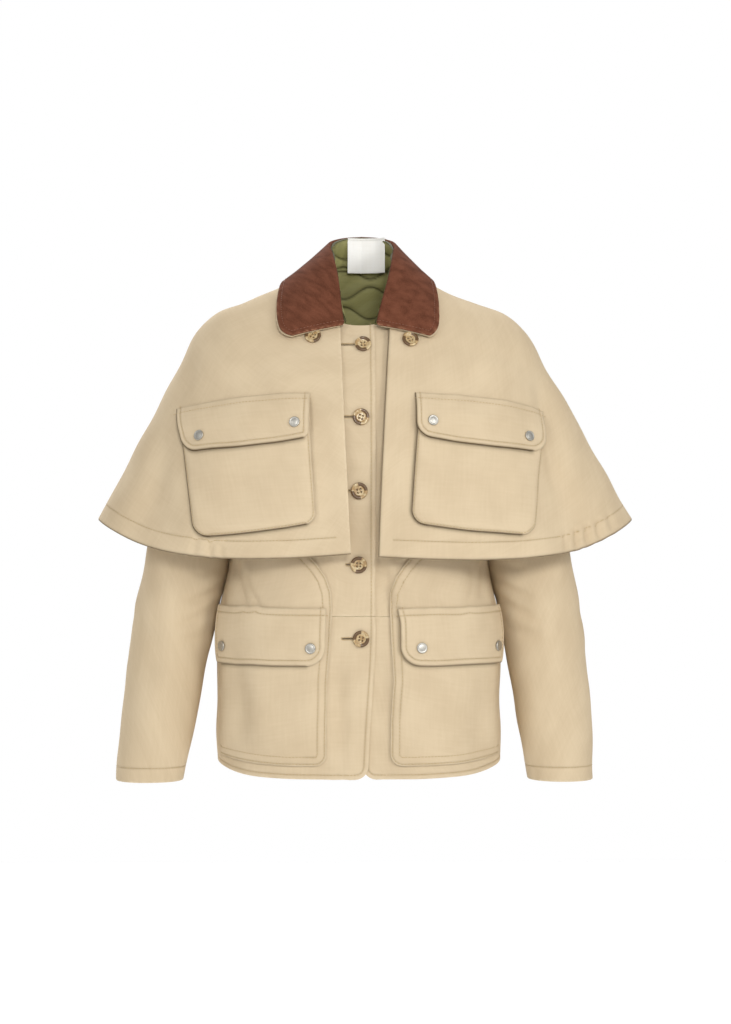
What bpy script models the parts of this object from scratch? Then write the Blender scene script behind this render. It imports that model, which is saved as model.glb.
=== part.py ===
"""Cape jacket in cotton canvas, filled out as if worn: a hip-length jacket with a buttoned-on shoulder cape,
a suede collar, four flap pockets with snaps and a quilted lining that shows at the neck.

The origin is at the base of the wearer's neck, level with the side neck points. +Z is up, the front faces -Y
and the wearer's left is +X. Sizes are in millimetres, and each mesh is scaled to metres when it is made.
Every table gives the outer face of the cloth, and the wall goes inwards from it.
"""

import math
from collections import namedtuple

import bmesh
import bpy
import numpy as np
from mathutils import Vector

MM = 0.001
WELD = 0.05
SHARP_ANGLE = 40

# The wearer's sides, and the sign of x on each
SIDES = (("left", 1), ("right", -1))

# Cloth walls and the gaps between pieces
CANVAS = 1.6
POCKET_WALL = 1.4
SUEDE = 1.5
UNDER_COLLAR_WALL = 1.2
STAND_WALL = 1.6
STAND_GAP = 1.0
STAND_BEHIND_ROLL = 3.5
STAND_LEAST = 14
STAND_ROWS = 4
LABEL_WALL = 1.0
QUILT_WALL = 3.0
QUILT_SEAM_SHARE = 0.42
SEAM = 0.8
ARMHOLE_SEAM = 1.7
LAYER_GAP = 0.5

# Jacket body
WAIST_SEAM_Z = -440
HEM_Z = -640
FRONT_OVERLAP = 18
RIGHT_HEM_OVERLAP = 9
LEFT_HEM_OVERLAP = -3
OVERLAP_TURN_Z = -455
HEM_CORNER = 16
TUCK = 2.6
TUCK_FROM_X = 70
TUCK_TO_X = 26
SIDE_SEAM_FORWARD = 12
FRONT_SCOOP = 32
BACK_SCOOP = 24

# Rows and columns of the jacket body's grids: rows between the armhole, the waist seam and the hem, and rows
# that round a lower corner, as shares of its radius
YOKE_ROWS = 3
UPPER_ROWS_Z = (-290, -340, -390)
LOWER_ROWS_Z = (-480, -530, -580)
CORNER_SHARES = (1.0, 0.5, 0.2, 0.05)
FRONT_COLUMNS = 10
FRONT_SPREAD = 0.9
BACK_COLUMNS = 17

# Buttons
BUTTON_GAP = 0.25
BUTTON_RADIUS = 10.3
BUTTON_HEIGHT = 4.1
BUTTON_STEPS = 16
FIRST_BUTTON_Z = -105
BUTTON_PITCH = 90.6
BUTTON_X = (3.2, 0, -2.3, -2.6, 0)
CAPE_BUTTONS = {"left": (61, -99), "right": (59, -95)}

# Snaps
SNAP_RADIUS = 6.6
SNAP_HEIGHT = 2.4
SNAP_STEPS = 12

# Cape
RIGHT_CAPE_EDGE = (25, 22)
LEFT_CAPE_EDGE = (37, 12)
RIGHT_HEM_LIFT = 0.035
LEFT_HEM_LIFT = 0.024
HEM_LIFT_POWER = 3
CAPE_SWAY = 9
SWAY_POWER = 1.5
CAPE_ROWS = 12
CAPE_FRONT_COLUMNS = 13
CAPE_BACK_COLUMNS = 25

# Hip pockets and flaps, across the girth from centre front
HIP_POCKET_TOP = -345
HIP_POCKET_BOTTOM = -624
HIP_POCKET_CORNER = 15
HIP_POCKET_PUFF = 3.0
HIP_POCKET_OUTER_ANGLE = 72
HIP_POCKET_ROWS_Z = (-353, -362, -370, -380, -395, -415, -460, -510, -565)
HIP_PUFF_FROM_Z = -380
HIP_PUFF_FULL_Z = -430
HIP_COLUMNS = 10
HIP_RING = 10
GIRTH_STEPS = 400
HIP_FLAP_TOP = -430
HIP_FLAP_BOTTOM = -501
HIP_FLAP_INNER = {"left": 47.5, "right": 43}
HIP_FLAP_CORNER = 24
HIP_FLAP_OUTER_CORNER_SHARE = 0.4
HIP_FLAP_OUTER_ANGLE = 73
HIP_FLAP_ROW_Z = -452
HIP_FLAP_CORNER_SHARES = (1.0, 0.6, 0.3, 0.1)
HIP_SNAP_Z = -479
HIP_SNAP_IN = {"left": 27, "right": 18}
HIP_SNAP_OUT = 20

# Height of a patch's outer face above its panel, at its edge
CAPE_PATCH_EDGE = 2.3
HIP_PATCH_EDGE = 2.6
EDGE_RISE_STEPS = 2
PATCH_SPREAD = 1.6

# Sleeves
SLEEVE_COLUMNS = 18
SLEEVE_ROWS = 12
SLEEVE_SWAY = -4.5
SLEEVE_SWAY_POWER = 6

# Lining
LINING_BACK_IN = 5.8
LINING_FRONT_IN = 5.1
LINING_FRONT_X = 46
LINING_TOP_RING = 0.05
LINING_TOP_Z = -20
LINING_HEM_Z = -606
LINING_EDGE = 5
LINING_ARMHOLE_GROW = 0.04
LINING_BACK_COLUMNS = 15
LINING_FRONT_COLUMNS = 7
QUILT_PITCH = 62
QUILT_WAVE = 9
QUILT_WAVES = 4
QUILT_EASE = 0.1

# Label at the back of the neck
LABEL_WIDTH = 47
LABEL_DROP = 45.5
LABEL_X = 10.8
LABEL_TOP_Z = 44.3
LABEL_COLUMNS = 5
LABEL_ROWS = 4

Finish = namedtuple("Finish", "name colour roughness metallic")
Turn = namedtuple("Turn", "radius height")
Ring = namedtuple("Ring", "side_x side_z front_y front_z back_y back_z square rise")
Fold = namedtuple("Fold", "top_angle hem_angle half_width depth")
Section = namedtuple("Section", "outer_x outer_z inner_x inner_z centre_y half_depth")
Leaf = namedtuple("Leaf", "angle edge_ring lift roll_x roll_y roll_z")
Edge = namedtuple("Edge", "z left right")
Patch = namedtuple("Patch", "inner_top outer_top outer_bottom inner_bottom bow sag inner_corner outer_corner")

COTTON_CANVAS = Finish("cotton_canvas", (0.70, 0.56, 0.37), 0.85, 0.0)
BROWN_SUEDE = Finish("brown_suede", (0.13, 0.045, 0.022), 0.95, 0.0)
OLIVE_QUILTING = Finish("olive_quilting", (0.20, 0.19, 0.075), 0.7, 0.0)
HORN = Finish("horn", (0.36, 0.24, 0.12), 0.35, 0.0)
NICKEL = Finish("nickel", (0.75, 0.76, 0.74), 0.25, 1.0)
WOVEN_LABEL = Finish("woven_label", (0.88, 0.86, 0.80), 0.8, 0.0)

# Profiles of a button and a snap from the middle of the top round to the middle of the foot, as shares of
# the radius and height
BUTTON_PROFILE = (
    Turn(0, 0.59),
    Turn(0.52, 0.59),
    Turn(0.68, 0.9),
    Turn(0.86, 1.0),
    Turn(1.0, 0.71),
    Turn(0.93, 0.24),
    Turn(0.73, 0),
    Turn(0, 0),
)
SNAP_PROFILE = (
    Turn(0, 1.0),
    Turn(0.55, 0.94),
    Turn(0.9, 0.62),
    Turn(1.0, 0.25),
    Turn(0.92, 0),
    Turn(0, 0),
)

# Rings of the jacket body, from the neck seam down
BODY_RINGS = (
    Ring(66, -6, -90, -80, 68, 2, 2.0, 2.8),
    Ring(102, -33, -104, -112, 84, -18, 2.0, 2.0),
    Ring(146, -53, -116, -140, 100, -46, 2.05, 2.0),
    Ring(186, -69, -124, -165, 112, -82, 2.1, 2.2),
    Ring(179, -122, -129, -190, 116, -132, 2.3, 2.2),
    Ring(168, -182, -132, -216, 117, -190, 2.4, 2.0),
    Ring(160, -240, -133, -247, 116, -244, 2.5, 2.0),
    Ring(160, -310, -131, -310, 112, -310, 2.5, 2.0),
    Ring(163.5, -380, -127, -380, 109, -380, 2.5, 2.0),
    Ring(177, -440, -127, -440, 111, -440, 2.5, 2.0),
    Ring(180.5, -500, -128, -500, 115, -500, 2.5, 2.0),
    Ring(181, -570, -129, -570, 117, -570, 2.5, 2.0),
    Ring(180, -627, -130, -640, 118, -640, 2.5, 5.0),
)
SHOULDER_RING = 3
UNDERARM_RING = 6

# Rings of the cape, from its neck edge to its hem
CAPE_RINGS = (
    Ring(73, -8.0, -95.6, -85.6, 74.2, -1.2, 2.0, 2.0),
    Ring(104, -27, -112, -116, 90, -14, 2.0, 2.0),
    Ring(148, -45, -126, -151, 107, -42, 2.05, 2.0),
    Ring(186, -60, -136, -185, 121, -78, 2.1, 2.2),
    Ring(210, -82, -143, -220, 131, -122, 2.15, 2.6),
    Ring(233, -124, -147, -255, 139, -172, 2.2, 3.0),
    Ring(269, -190, -151, -295, 145, -238, 2.2, 3.4),
    Ring(305, -256, -155, -335, 150, -306, 2.2, 3.8),
    Ring(341, -321, -159, -374, 155, -374, 2.2, 4.0),
)

# Soft folds of the cape, which deepen towards its hem. A positive depth is a ridge.
CAPE_FOLDS = (
    Fold(74, 49, 10, -11),
    Fold(-74, -53, 11, -7),
    Fold(118, 128, 11, -10),
    Fold(-118, -126, 12, -9),
    Fold(150, 154, 9, 8),
    Fold(-152, -157, 9, 7),
)
FOLD_START = 0.45

# Sections of the sleeve below the armhole, from the shoulder to the cuff
SLEEVE_SECTIONS = (
    Section(206, -97, 161.5, -252, 0, 68),
    Section(222, -134, 163, -272, -1, 66),
    Section(234, -182, 164, -302, -2, 64),
    Section(253, -281, 164, -346, -4, 61),
    Section(270, -362, 166.3, -386, -6, 58),
    Section(286, -450, 184, -455, -9, 54),
    Section(298, -553, 200, -553, -14, 49),
    Section(303, -651, 219, -651, -20, 43.5),
)

# Sections of one collar leaf from centre front to centre back: the angle and ring of the cape that its edge
# lies over, how high its outer face is lifted there, and where its roll stands
COLLAR_LEAVES = (
    Leaf(40.5, 1.77, 9.8, 22, -99, -80),
    Leaf(47, 1.72, 9.8, 27, -87, -54),
    Leaf(58, 1.42, 7.8, 33, -70, -25),
    Leaf(74, 1.00, 6.0, 39, -45, 3),
    Leaf(91, 0.73, 5.4, 43, -18, 20),
    Leaf(108, 0.80, 5.4, 45, 9, 29),
    Leaf(130, 1.02, 5.4, 41, 36, 38),
    Leaf(155, 1.20, 5.4, 24, 56, 44),
    Leaf(180, 1.28, 5.4, 0, 63, 46),
)
COLLAR_BULGE = 2
COLLAR_LEAN = 5
COLLAR_CORNER = 0.12
COLLAR_COLUMNS = 22
COLLAR_ROWS = 6
LEAF_SPREAD = 1.15
LEFT_LEAF_TRIM = 0.16
UNDER_COLLAR_PROUD = 0.02

# Inner edges of the hip pockets: their height, and each side's distance round the girth from centre front
HIP_POCKET_INNER = (
    Edge(-345, 104, 104),
    Edge(-362, 74, 74),
    Edge(-376, 59, 59),
    Edge(-392, 46, 46),
    Edge(-410, 38.5, 38.5),
    Edge(-432, 36, 36),
    Edge(-470, 37, 37),
    Edge(-520, 40, 41),
    Edge(-570, 36.5, 42),
    Edge(-640, 36.5, 42),
)

# Cape pockets, flaps and snaps as seen from the front, in x from the cape's own middle line and in z. The
# cape hangs differently on its two sides, so they aren't quite mirror images.
CAPE_POCKETS = {
    "left": Patch((69, -176), (229, -193), (206, -340.5), (52.5, -325), 3, 3, 17, 17),
    "right": Patch((66.5, -176), (232.5, -193), (212, -343), (62, -325), 3, 3, 12, 17),
}
CAPE_FLAPS = {
    "left": Patch((64, -166), (230, -183), (223, -238), (63.5, -219), 4, 3, 16, 17),
    "right": Patch((64, -166), (235, -183), (223, -238), (66.5, -221.5), 4, 3, 7, 17),
}
CAPE_SNAPS = {
    "left": ((82.5, -202), (202, -219)),
    "right": ((82.6, -204), (201, -218.7)),
}
CAPE_POCKET_GRID = (9, 9)
CAPE_FLAP_GRID = (6, 9)

# How far a cape pocket puffs out and a flap clears a pocket, and the shares of the height over which the
# pocket fills out under its flap, the flap lifts off its seam and the flap follows the pocket
CAPE_POCKET_PUFF = 3.4
FLAP_OVER_POCKET = 2.6
POCKET_FILL = (0.05, 0.3)
FLAP_LIFT = (0, 0.2)
FLAP_FOLLOW = (0.05, 0.5)


def smooth(start, end, value):
    """0 before start, 1 after end and an even S between them."""
    share = np.clip((np.asarray(value, float) - start) / (end - start), 0, 1)
    return share * share * (3 - 2 * share)


def spline(rows, at):
    """Catmull-Rom curve through rows that are evenly spaced from 0 to 1."""
    rows = np.asarray(rows, float)
    last = len(rows) - 1
    place = np.clip(np.asarray(at, float), 0, 1) * last
    start = np.minimum(place.astype(int), last - 1)
    part = (place - start)[..., None]
    ends = [2 * rows[:1] - rows[1:2], rows, 2 * rows[-1:] - rows[-2:-1]]
    padded = np.concatenate(ends)
    before, here, after, beyond = (padded[start + step] for step in range(4))
    slope = after - before
    bend = 2 * before - 5 * here + 4 * after - beyond
    twist = 3 * (here - after) + beyond - before
    return here + 0.5 * part * (slope + part * (bend + part * twist))


def corner_inset(height, radius):
    """How far a rounded corner of this radius draws an edge in, at a height above the corner's foot."""
    depth = np.clip(radius - np.asarray(height, float), 0, radius)
    return radius - np.sqrt(radius * radius - depth * depth)


class Wrap:
    """Cloth wrapped round the wearer, through rings joined by a smooth curve.

    Angle 0 is centre front and a quarter turn is the wearer's left side. Level 0 is the first ring and 1 is
    the last. The sway is how far the last ring hangs to the wearer's left.
    """

    STEP = 1e-4
    HALVINGS = 40

    def __init__(self, rings, folds=(), sway=0.0):
        self.rings = np.array(rings, float)
        self.folds = folds
        self.sway = sway

    def level(self, ring):
        """The level of a ring, given its place in the table."""
        return ring / (len(self.rings) - 1)

    def ring(self, level):
        return Ring(*np.moveaxis(spline(self.rings, level), -1, 0))

    def plain(self, angle, level):
        """The surface without its folds: superellipses whose height runs from front or back to the sides."""
        ring = self.ring(level)
        sine, cosine = np.sin(angle), np.cos(angle)
        front = cosine > 0
        power = 2 / ring.square
        x = ring.side_x * np.sign(sine) * np.abs(sine) ** power
        y = np.where(front, ring.front_y, ring.back_y) * np.abs(cosine) ** power
        end_z = np.where(front, ring.front_z, ring.back_z)
        z = end_z + (ring.side_z - end_z) * np.abs(sine) ** ring.rise
        return np.stack(np.broadcast_arrays(x + self.sway * level**SWAY_POWER, y, z), axis=-1)

    def normal_of(self, surface, angle, level):
        """Outward normals, from differences along both parameters."""
        angle, level = np.broadcast_arrays(np.asarray(angle, float), np.asarray(level, float))
        low = np.clip(level - self.STEP, 0, 1)
        high = np.clip(level + self.STEP, 0, 1)
        round_it = surface(angle + self.STEP, level) - surface(angle - self.STEP, level)
        normal = np.cross(surface(angle, high) - surface(angle, low), round_it)
        return normal / np.linalg.norm(normal, axis=-1, keepdims=True)

    def fold_height(self, angle, level):
        """Height of the folds: each is a bell across the angle that grows from the yoke to the hem."""
        turned = np.mod(np.asarray(angle, float) + math.pi, 2 * math.pi) - math.pi
        height = 0.0
        for fold in self.folds:
            centre = np.radians(fold.top_angle + (fold.hem_angle - fold.top_angle) * level)
            across = (turned - centre) / math.radians(fold.half_width)
            height = height + fold.depth * np.exp(-across * across) * smooth(FOLD_START, 1, level)
        return height

    def point(self, angle, level):
        plain = self.plain(angle, level)
        if not self.folds:
            return plain
        return plain + self.normal_of(self.plain, angle, level) * self.fold_height(angle, level)[..., None]

    def place(self, angle, level, out=0.0):
        """Points moved out from the surface."""
        out = np.asarray(out, float)[..., None]
        return self.point(angle, level) + self.normal_of(self.point, angle, level) * out

    def angle_at(self, x, level):
        """The angle on the front where the surface is x from its own middle line."""
        ring = self.ring(level)
        share = np.clip(np.abs(x) / ring.side_x, 0, 1)
        return np.sign(x) * np.arcsin(share ** (ring.square / 2))

    def level_where(self, z, angle_of):
        """The level at height z, found by halving, where the angle follows from the level."""
        low, high = np.zeros_like(np.asarray(z, float)), np.ones_like(np.asarray(z, float))
        for _ in range(self.HALVINGS):
            middle = (low + high) / 2
            above = self.plain(angle_of(middle), middle)[..., 2] > z
            low, high = np.where(above, middle, low), np.where(above, high, middle)
        return (low + high) / 2

    def level_at(self, angle, z):
        return self.level_where(z, lambda level: angle)

    def front_spot(self, x, z):
        """Angle and level of the point that the front view shows at x and z."""
        level = self.level_where(z, lambda at: self.angle_at(x, at))
        return self.angle_at(x, level), level


BODY = Wrap(BODY_RINGS)
CAPE = Wrap(CAPE_RINGS, CAPE_FOLDS, CAPE_SWAY)
SHOULDER_LEVEL = BODY.level(SHOULDER_RING)
UNDERARM_LEVEL = BODY.level(UNDERARM_RING)


def mirrored(points):
    """The same grid on the wearer's right, with its columns turned round so that it still faces out."""
    return points[:, ::-1] * np.array([-1, 1, 1])


def grid_normals(points):
    """Outward normals of a grid whose rows run down and whose columns run round by the left."""
    down = np.gradient(points, axis=0)
    along = np.gradient(points, axis=1)
    normal = np.cross(down, along)
    return normal / np.linalg.norm(normal, axis=-1, keepdims=True)


def make_material(finish):
    material = bpy.data.materials.new(finish.name)
    material.use_nodes = True
    shader = material.node_tree.nodes["Principled BSDF"]
    shader.inputs["Base Color"].default_value = (*finish.colour, 1)
    shader.inputs["Roughness"].default_value = finish.roughness
    shader.inputs["Metallic"].default_value = finish.metallic
    return material


def new_part(name, mesh, material):
    """An object in the jacket's collection, shaded smooth but for its edges."""
    mesh.materials.append(material)
    mesh.shade_smooth()
    mesh.set_sharp_from_angle(angle=math.radians(SHARP_ANGLE))
    part = bpy.data.objects.new(name, mesh)
    bpy.data.collections["cape_jacket"].objects.link(part)
    return part


def cloth(name, points, wall, material, closed=False, weights=None):
    """A wall of cloth through a grid of points on its outer face, whose rows run down.

    A closed grid repeats its first column as its last, and is welded there. Weights thin the wall by a share.
    """
    rows, columns = points.shape[:2]
    shape = bmesh.new()
    bmesh.ops.create_grid(shape, x_segments=columns - 1, y_segments=rows - 1, size=1)
    for vertex, place in zip(shape.verts, points[::-1].reshape(-1, 3)):
        vertex.co = place * MM
    if closed:
        bmesh.ops.remove_doubles(shape, verts=shape.verts, dist=WELD * MM)
    mesh = bpy.data.meshes.new(name)
    shape.to_mesh(mesh)
    shape.free()
    part = new_part(name, mesh, material)
    solid = part.modifiers.new("wall", "SOLIDIFY")
    solid.thickness = wall * MM
    solid.offset = -1
    if weights is not None:
        group = part.vertex_groups.new(name="quilt")
        for index, weight in enumerate(weights[::-1].reshape(-1)):
            group.add([index], float(weight), "REPLACE")
        solid.vertex_group = group.name
    return part


def turned(name, profile, radius, height, steps, spot, material):
    """A turned piece from a profile of shares, set at a spot with its axis along the spot's normal."""
    place, normal = spot
    mesh = bpy.data.meshes.new(name)
    points = [(turn.radius * radius * MM, 0, turn.height * height * MM) for turn in profile]
    mesh.from_pydata(points, [(i, i + 1) for i in range(len(points) - 1)], [])
    part = new_part(name, mesh, material)
    screw = part.modifiers.new("turn", "SCREW")
    screw.steps = screw.render_steps = steps
    screw.use_merge_vertices = True
    screw.merge_threshold = WELD * MM
    screw.use_smooth_shade = True
    part.rotation_mode = "QUATERNION"
    part.rotation_quaternion = Vector(normal).to_track_quat("Z", "Y")
    part.location = Vector(place) * MM
    return part


def armhole_share(level, grow):
    """How open the armhole is at a level: 0 at the shoulder and underarm, 1 halfway."""
    top, bottom = SHOULDER_LEVEL - grow, UNDERARM_LEVEL + grow
    share = np.clip((level - top) / (bottom - top), 0, 1)
    return 2 * np.sqrt(share * (1 - share))


def side_seam(level):
    """Angle of the shoulder seam and side seam, which drifts forward below the underarm."""
    waist = BODY.level_at(math.pi / 2, WAIST_SEAM_Z)
    return np.radians(90 - SIDE_SEAM_FORWARD * smooth(UNDERARM_LEVEL, waist, level))


def front_edge(level, inset=SEAM / 2, grow=0.0):
    """Angle of the front panel's shoulder, armhole and side edge."""
    open_by = np.radians(FRONT_SCOOP) * armhole_share(level, grow)
    return side_seam(level) - open_by + inset / BODY.ring(level).front_y


def back_edge(level, inset=SEAM / 2, grow=0.0):
    """Angle of the back panel's shoulder, armhole and side edge."""
    open_by = np.radians(BACK_SCOOP) * armhole_share(level, grow)
    return side_seam(level) + open_by + inset / BODY.ring(level).back_y


def armhole_levels(steps):
    """Levels down the armhole, closest together at its top and bottom."""
    turn = np.linspace(0, math.pi, steps + 1)
    return SHOULDER_LEVEL + (UNDERARM_LEVEL - SHOULDER_LEVEL) * (1 - np.cos(turn)) / 2


def body_levels(top_z, bottom_z, heights):
    """Levels of the body's rows below the underarm, where its rings are flat."""
    return BODY.level_at(0.0, np.array([top_z, *heights, bottom_z], float))


def upper_levels():
    """Levels of the body's rows from the neck seam to just above the waist seam."""
    yoke = np.linspace(0, SHOULDER_LEVEL, YOKE_ROWS + 1)[:-1]
    armhole = armhole_levels(SLEEVE_COLUMNS // 2)
    waist = body_levels(UPPER_ROWS_Z[0], WAIST_SEAM_Z + SEAM / 2, UPPER_ROWS_Z[1:])
    return np.concatenate([yoke, armhole, waist])


def lower_levels(corner_shares=()):
    """Levels of the body's rows from just below the waist seam to the hem."""
    corner = [HEM_Z + HEM_CORNER * share for share in corner_shares]
    return body_levels(WAIST_SEAM_Z - SEAM / 2, HEM_Z, (*LOWER_ROWS_Z, *corner))


def tuck(angle, level):
    """How far the left front sinks to pass behind the right front, near the closing."""
    x = BODY.point(angle, level)[..., 0]
    return -TUCK * (1 - smooth(TUCK_TO_X, TUCK_FROM_X, x))


def front_panel(levels, hem_overlap, tucked):
    """Grid of a front panel on the wearer's left, from past centre front to the side."""
    z = BODY.plain(0.0, levels)[..., 2]
    overlap = FRONT_OVERLAP + (hem_overlap - FRONT_OVERLAP) * smooth(OVERLAP_TURN_Z, HEM_Z, z)
    start = BODY.angle_at(corner_inset(z - HEM_Z, HEM_CORNER) - overlap, levels)
    across = np.linspace(0, 1, FRONT_COLUMNS) ** FRONT_SPREAD
    angle = start[:, None] + (front_edge(levels) - start)[:, None] * across
    level = np.broadcast_to(levels[:, None], angle.shape)
    return BODY.place(angle, level, tuck(angle, level) if tucked else np.zeros(angle.shape))


def build_fronts(canvas):
    """Two fronts, each sewn from an upper and a lower piece. The right one laps over the left."""
    for half, levels in (("upper", upper_levels()), ("lower", lower_levels(CORNER_SHARES))):
        left = front_panel(levels, LEFT_HEM_OVERLAP, True)
        right = front_panel(levels, RIGHT_HEM_OVERLAP, False)
        cloth(f"front_left_{half}", left, CANVAS, canvas)
        cloth(f"front_right_{half}", mirrored(right), CANVAS, canvas)


def build_back(canvas):
    levels = np.concatenate([upper_levels(), lower_levels()[1:]])
    start = back_edge(levels)
    across = np.linspace(0, 1, BACK_COLUMNS)
    angle = start[:, None] + (2 * math.pi - 2 * start)[:, None] * across
    cloth("back", BODY.point(angle, levels[:, None]), CANVAS, canvas)


def sleeve_grid():
    """Rings of the left sleeve: the armhole's own loop, then the sections down to the cuff."""
    turn = np.linspace(0, 2 * math.pi, SLEEVE_COLUMNS + 1)
    sine, cosine = np.sin(turn), np.cos(turn)
    level = SHOULDER_LEVEL + (UNDERARM_LEVEL - SHOULDER_LEVEL) * (1 - cosine) / 2
    edge = np.where(sine > 0, back_edge(level, 0), front_edge(level, 0))
    loop = BODY.point(edge, level)
    rings = []
    for section in SLEEVE_SECTIONS:
        middle_x = (section.outer_x + section.inner_x) / 2
        middle_z = (section.outer_z + section.inner_z) / 2
        x = middle_x + (section.outer_x - middle_x) * cosine
        z = middle_z + (section.outer_z - middle_z) * cosine
        rings.append(np.stack([x, section.centre_y + section.half_depth * sine, z], axis=-1))
    away = rings[0] - loop
    away = away / np.linalg.norm(away, axis=-1, keepdims=True)
    rings.insert(0, loop + away * ARMHOLE_SEAM)
    flat = spline(np.array(rings).reshape(len(rings), -1), np.linspace(0, 1, SLEEVE_ROWS))
    return flat.reshape(SLEEVE_ROWS, -1, 3)


def build_sleeves(canvas):
    """Two sleeves, which hang a little to the wearer's right at the cuff."""
    points = sleeve_grid()
    sway = np.zeros(points.shape)
    sway[..., 0] = SLEEVE_SWAY * np.linspace(0, 1, SLEEVE_ROWS)[:, None] ** SLEEVE_SWAY_POWER
    cloth("sleeve_left", points + sway, CANVAS, canvas, closed=True)
    cloth("sleeve_right", mirrored(points) + sway, CANVAS, canvas, closed=True)


def cape_front(edges, lift):
    """Grid of a cape front on the wearer's left, from its front edge to the shoulder line.

    Its hem lifts towards the front edge.
    """
    across = np.linspace(0, 1, CAPE_FRONT_COLUMNS)
    levels = np.linspace(0, 1, CAPE_ROWS)[:, None] * (1 - lift * (1 - across) ** HEM_LIFT_POWER)
    start = CAPE.angle_at(edges[0] + (edges[1] - edges[0]) * levels, levels)
    end = math.pi / 2 + SEAM / 2 / CAPE.ring(levels).front_y
    return start + (end - start) * across, levels


def build_cape(canvas):
    """Two cape fronts and a cape back, seamed over the shoulders."""
    cloth("cape_front_left", CAPE.point(*cape_front(LEFT_CAPE_EDGE, LEFT_HEM_LIFT)), CANVAS, canvas)
    angle, level = cape_front(RIGHT_CAPE_EDGE, RIGHT_HEM_LIFT)
    cloth("cape_front_right", CAPE.point(-angle[:, ::-1], level), CANVAS, canvas)
    levels = np.linspace(0, 1, CAPE_ROWS)
    start = math.pi / 2 + SEAM / 2 / CAPE.ring(levels).back_y
    angle = start[:, None] + (2 * math.pi - 2 * start)[:, None] * np.linspace(0, 1, CAPE_BACK_COLUMNS)
    cloth("cape_back", CAPE.point(angle, levels[:, None]), CANVAS, canvas)


def leaf_half(sign, trim, proud):
    """Grid of one collar leaf from centre front to centre back, and how far down the leaf each point is.

    Each section runs from its roll to its edge over the cape. The trim narrows the leaf towards the front.
    """
    share = np.linspace(0, 1, COLLAR_COLUMNS // 2 + 1) ** LEAF_SPREAD
    leaf = Leaf(*np.moveaxis(spline(np.array(COLLAR_LEAVES, float), share), -1, 0))
    edge_ring = leaf.edge_ring - trim * np.sin(math.pi * np.sqrt(share)) ** 2
    edge = CAPE.place(sign * np.radians(leaf.angle), CAPE.level(edge_ring), leaf.lift)
    roll = np.stack([sign * leaf.roll_x, leaf.roll_y, leaf.roll_z], axis=-1)
    reach = 1 - corner_inset(share, COLLAR_CORNER) + proud
    down = np.linspace(0, 1, COLLAR_ROWS)[:, None, None] * reach[None, :, None]
    return roll + (edge - roll) * down, down


def leaf_grid(proud=0.0):
    """Grid of the whole collar, from the left leaf round the back to the right one."""
    left, down = leaf_half(1, LEFT_LEAF_TRIM, proud)
    right, _ = leaf_half(-1, 0.0, proud)
    whole = np.concatenate([left, right[:, ::-1][:, 1:]], axis=1)
    crown = np.concatenate([down, down[:, ::-1][:, 1:]], axis=1)
    lean = COLLAR_LEAN * (1 - crown[..., 0]) * smooth(BODY_RINGS[0].front_z, 0, whole[0, :, 2])
    whole[..., 0] += lean
    return whole + grid_normals(whole) * COLLAR_BULGE * 4 * crown * (1 - np.clip(crown, 0, 1))


def build_collar(suede, canvas, lining):
    """A suede top collar, its canvas under collar and the stand that carries both from the neck seam."""
    top = leaf_grid()
    cloth("collar", top, SUEDE, suede)
    under = leaf_grid(UNDER_COLLAR_PROUD)
    under = under - grid_normals(under) * (SUEDE + 2 * LAYER_GAP)
    cloth("under_collar", under, UNDER_COLLAR_WALL, canvas)
    return build_stand(top[0], lining)


def build_stand(roll, lining):
    """The stand rises from the neck seam to just inside the collar's roll, and is lined."""
    inside = grid_normals(np.stack([roll, roll - np.array([0, 0, 1.0])]))[0]
    top = roll - inside * (SUEDE + UNDER_COLLAR_WALL + STAND_BEHIND_ROLL)
    angle = np.arctan2(top[:, 0], -top[:, 1])
    neck = BODY.point(angle, np.zeros(angle.shape)) + np.array([0, 0, STAND_GAP])
    rise = np.linspace(1, 0, STAND_ROWS)[:, None, None]
    points = neck + (top - neck) * rise
    kept = np.linalg.norm(top - neck, axis=-1) > STAND_LEAST
    cloth("collar_stand", points[:, kept], STAND_WALL, lining)
    return points[:, kept]


def patch_grid(patch, rows, columns):
    """Front-view x and z over a four-cornered patch, and how far down it each point is.

    Its top and bottom edges bow and its lower corners are rounded.
    """
    inner_top, outer_top, outer_bottom, inner_bottom = (np.array(corner, float) for corner in patch[:4])
    height = np.linalg.norm(inner_bottom - inner_top)
    width = np.linalg.norm(outer_bottom - inner_bottom)
    down = 1 - (1 - np.linspace(0, 1, rows)) ** PATCH_SPREAD
    left = corner_inset((1 - down) * height, patch.inner_corner) / width
    right = 1 - corner_inset((1 - down) * height, patch.outer_corner) / width
    across = left[:, None] + (right - left)[:, None] * np.linspace(0, 1, columns)
    down = np.broadcast_to(down[:, None], across.shape)
    corners = (inner_top, outer_top, inner_bottom, outer_bottom)
    shares = ((1 - across) * (1 - down), across * (1 - down), (1 - across) * down, across * down)
    spot = sum(share[..., None] * corner for share, corner in zip(shares, corners))
    bend = 4 * across * (1 - across)
    z = spot[..., 1] + bend * ((1 - down) * patch.bow - down * patch.sag)
    return spot[..., 0], z, down


def edge_rise(rows, columns):
    """0 on a patch's sewn sides and bottom and 1 inside them, over a grid."""
    across = np.minimum(np.arange(columns), np.arange(columns)[::-1])
    below = np.arange(rows)[::-1]
    return smooth(0, EDGE_RISE_STEPS, np.minimum(across[None, :], below[:, None]))


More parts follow.
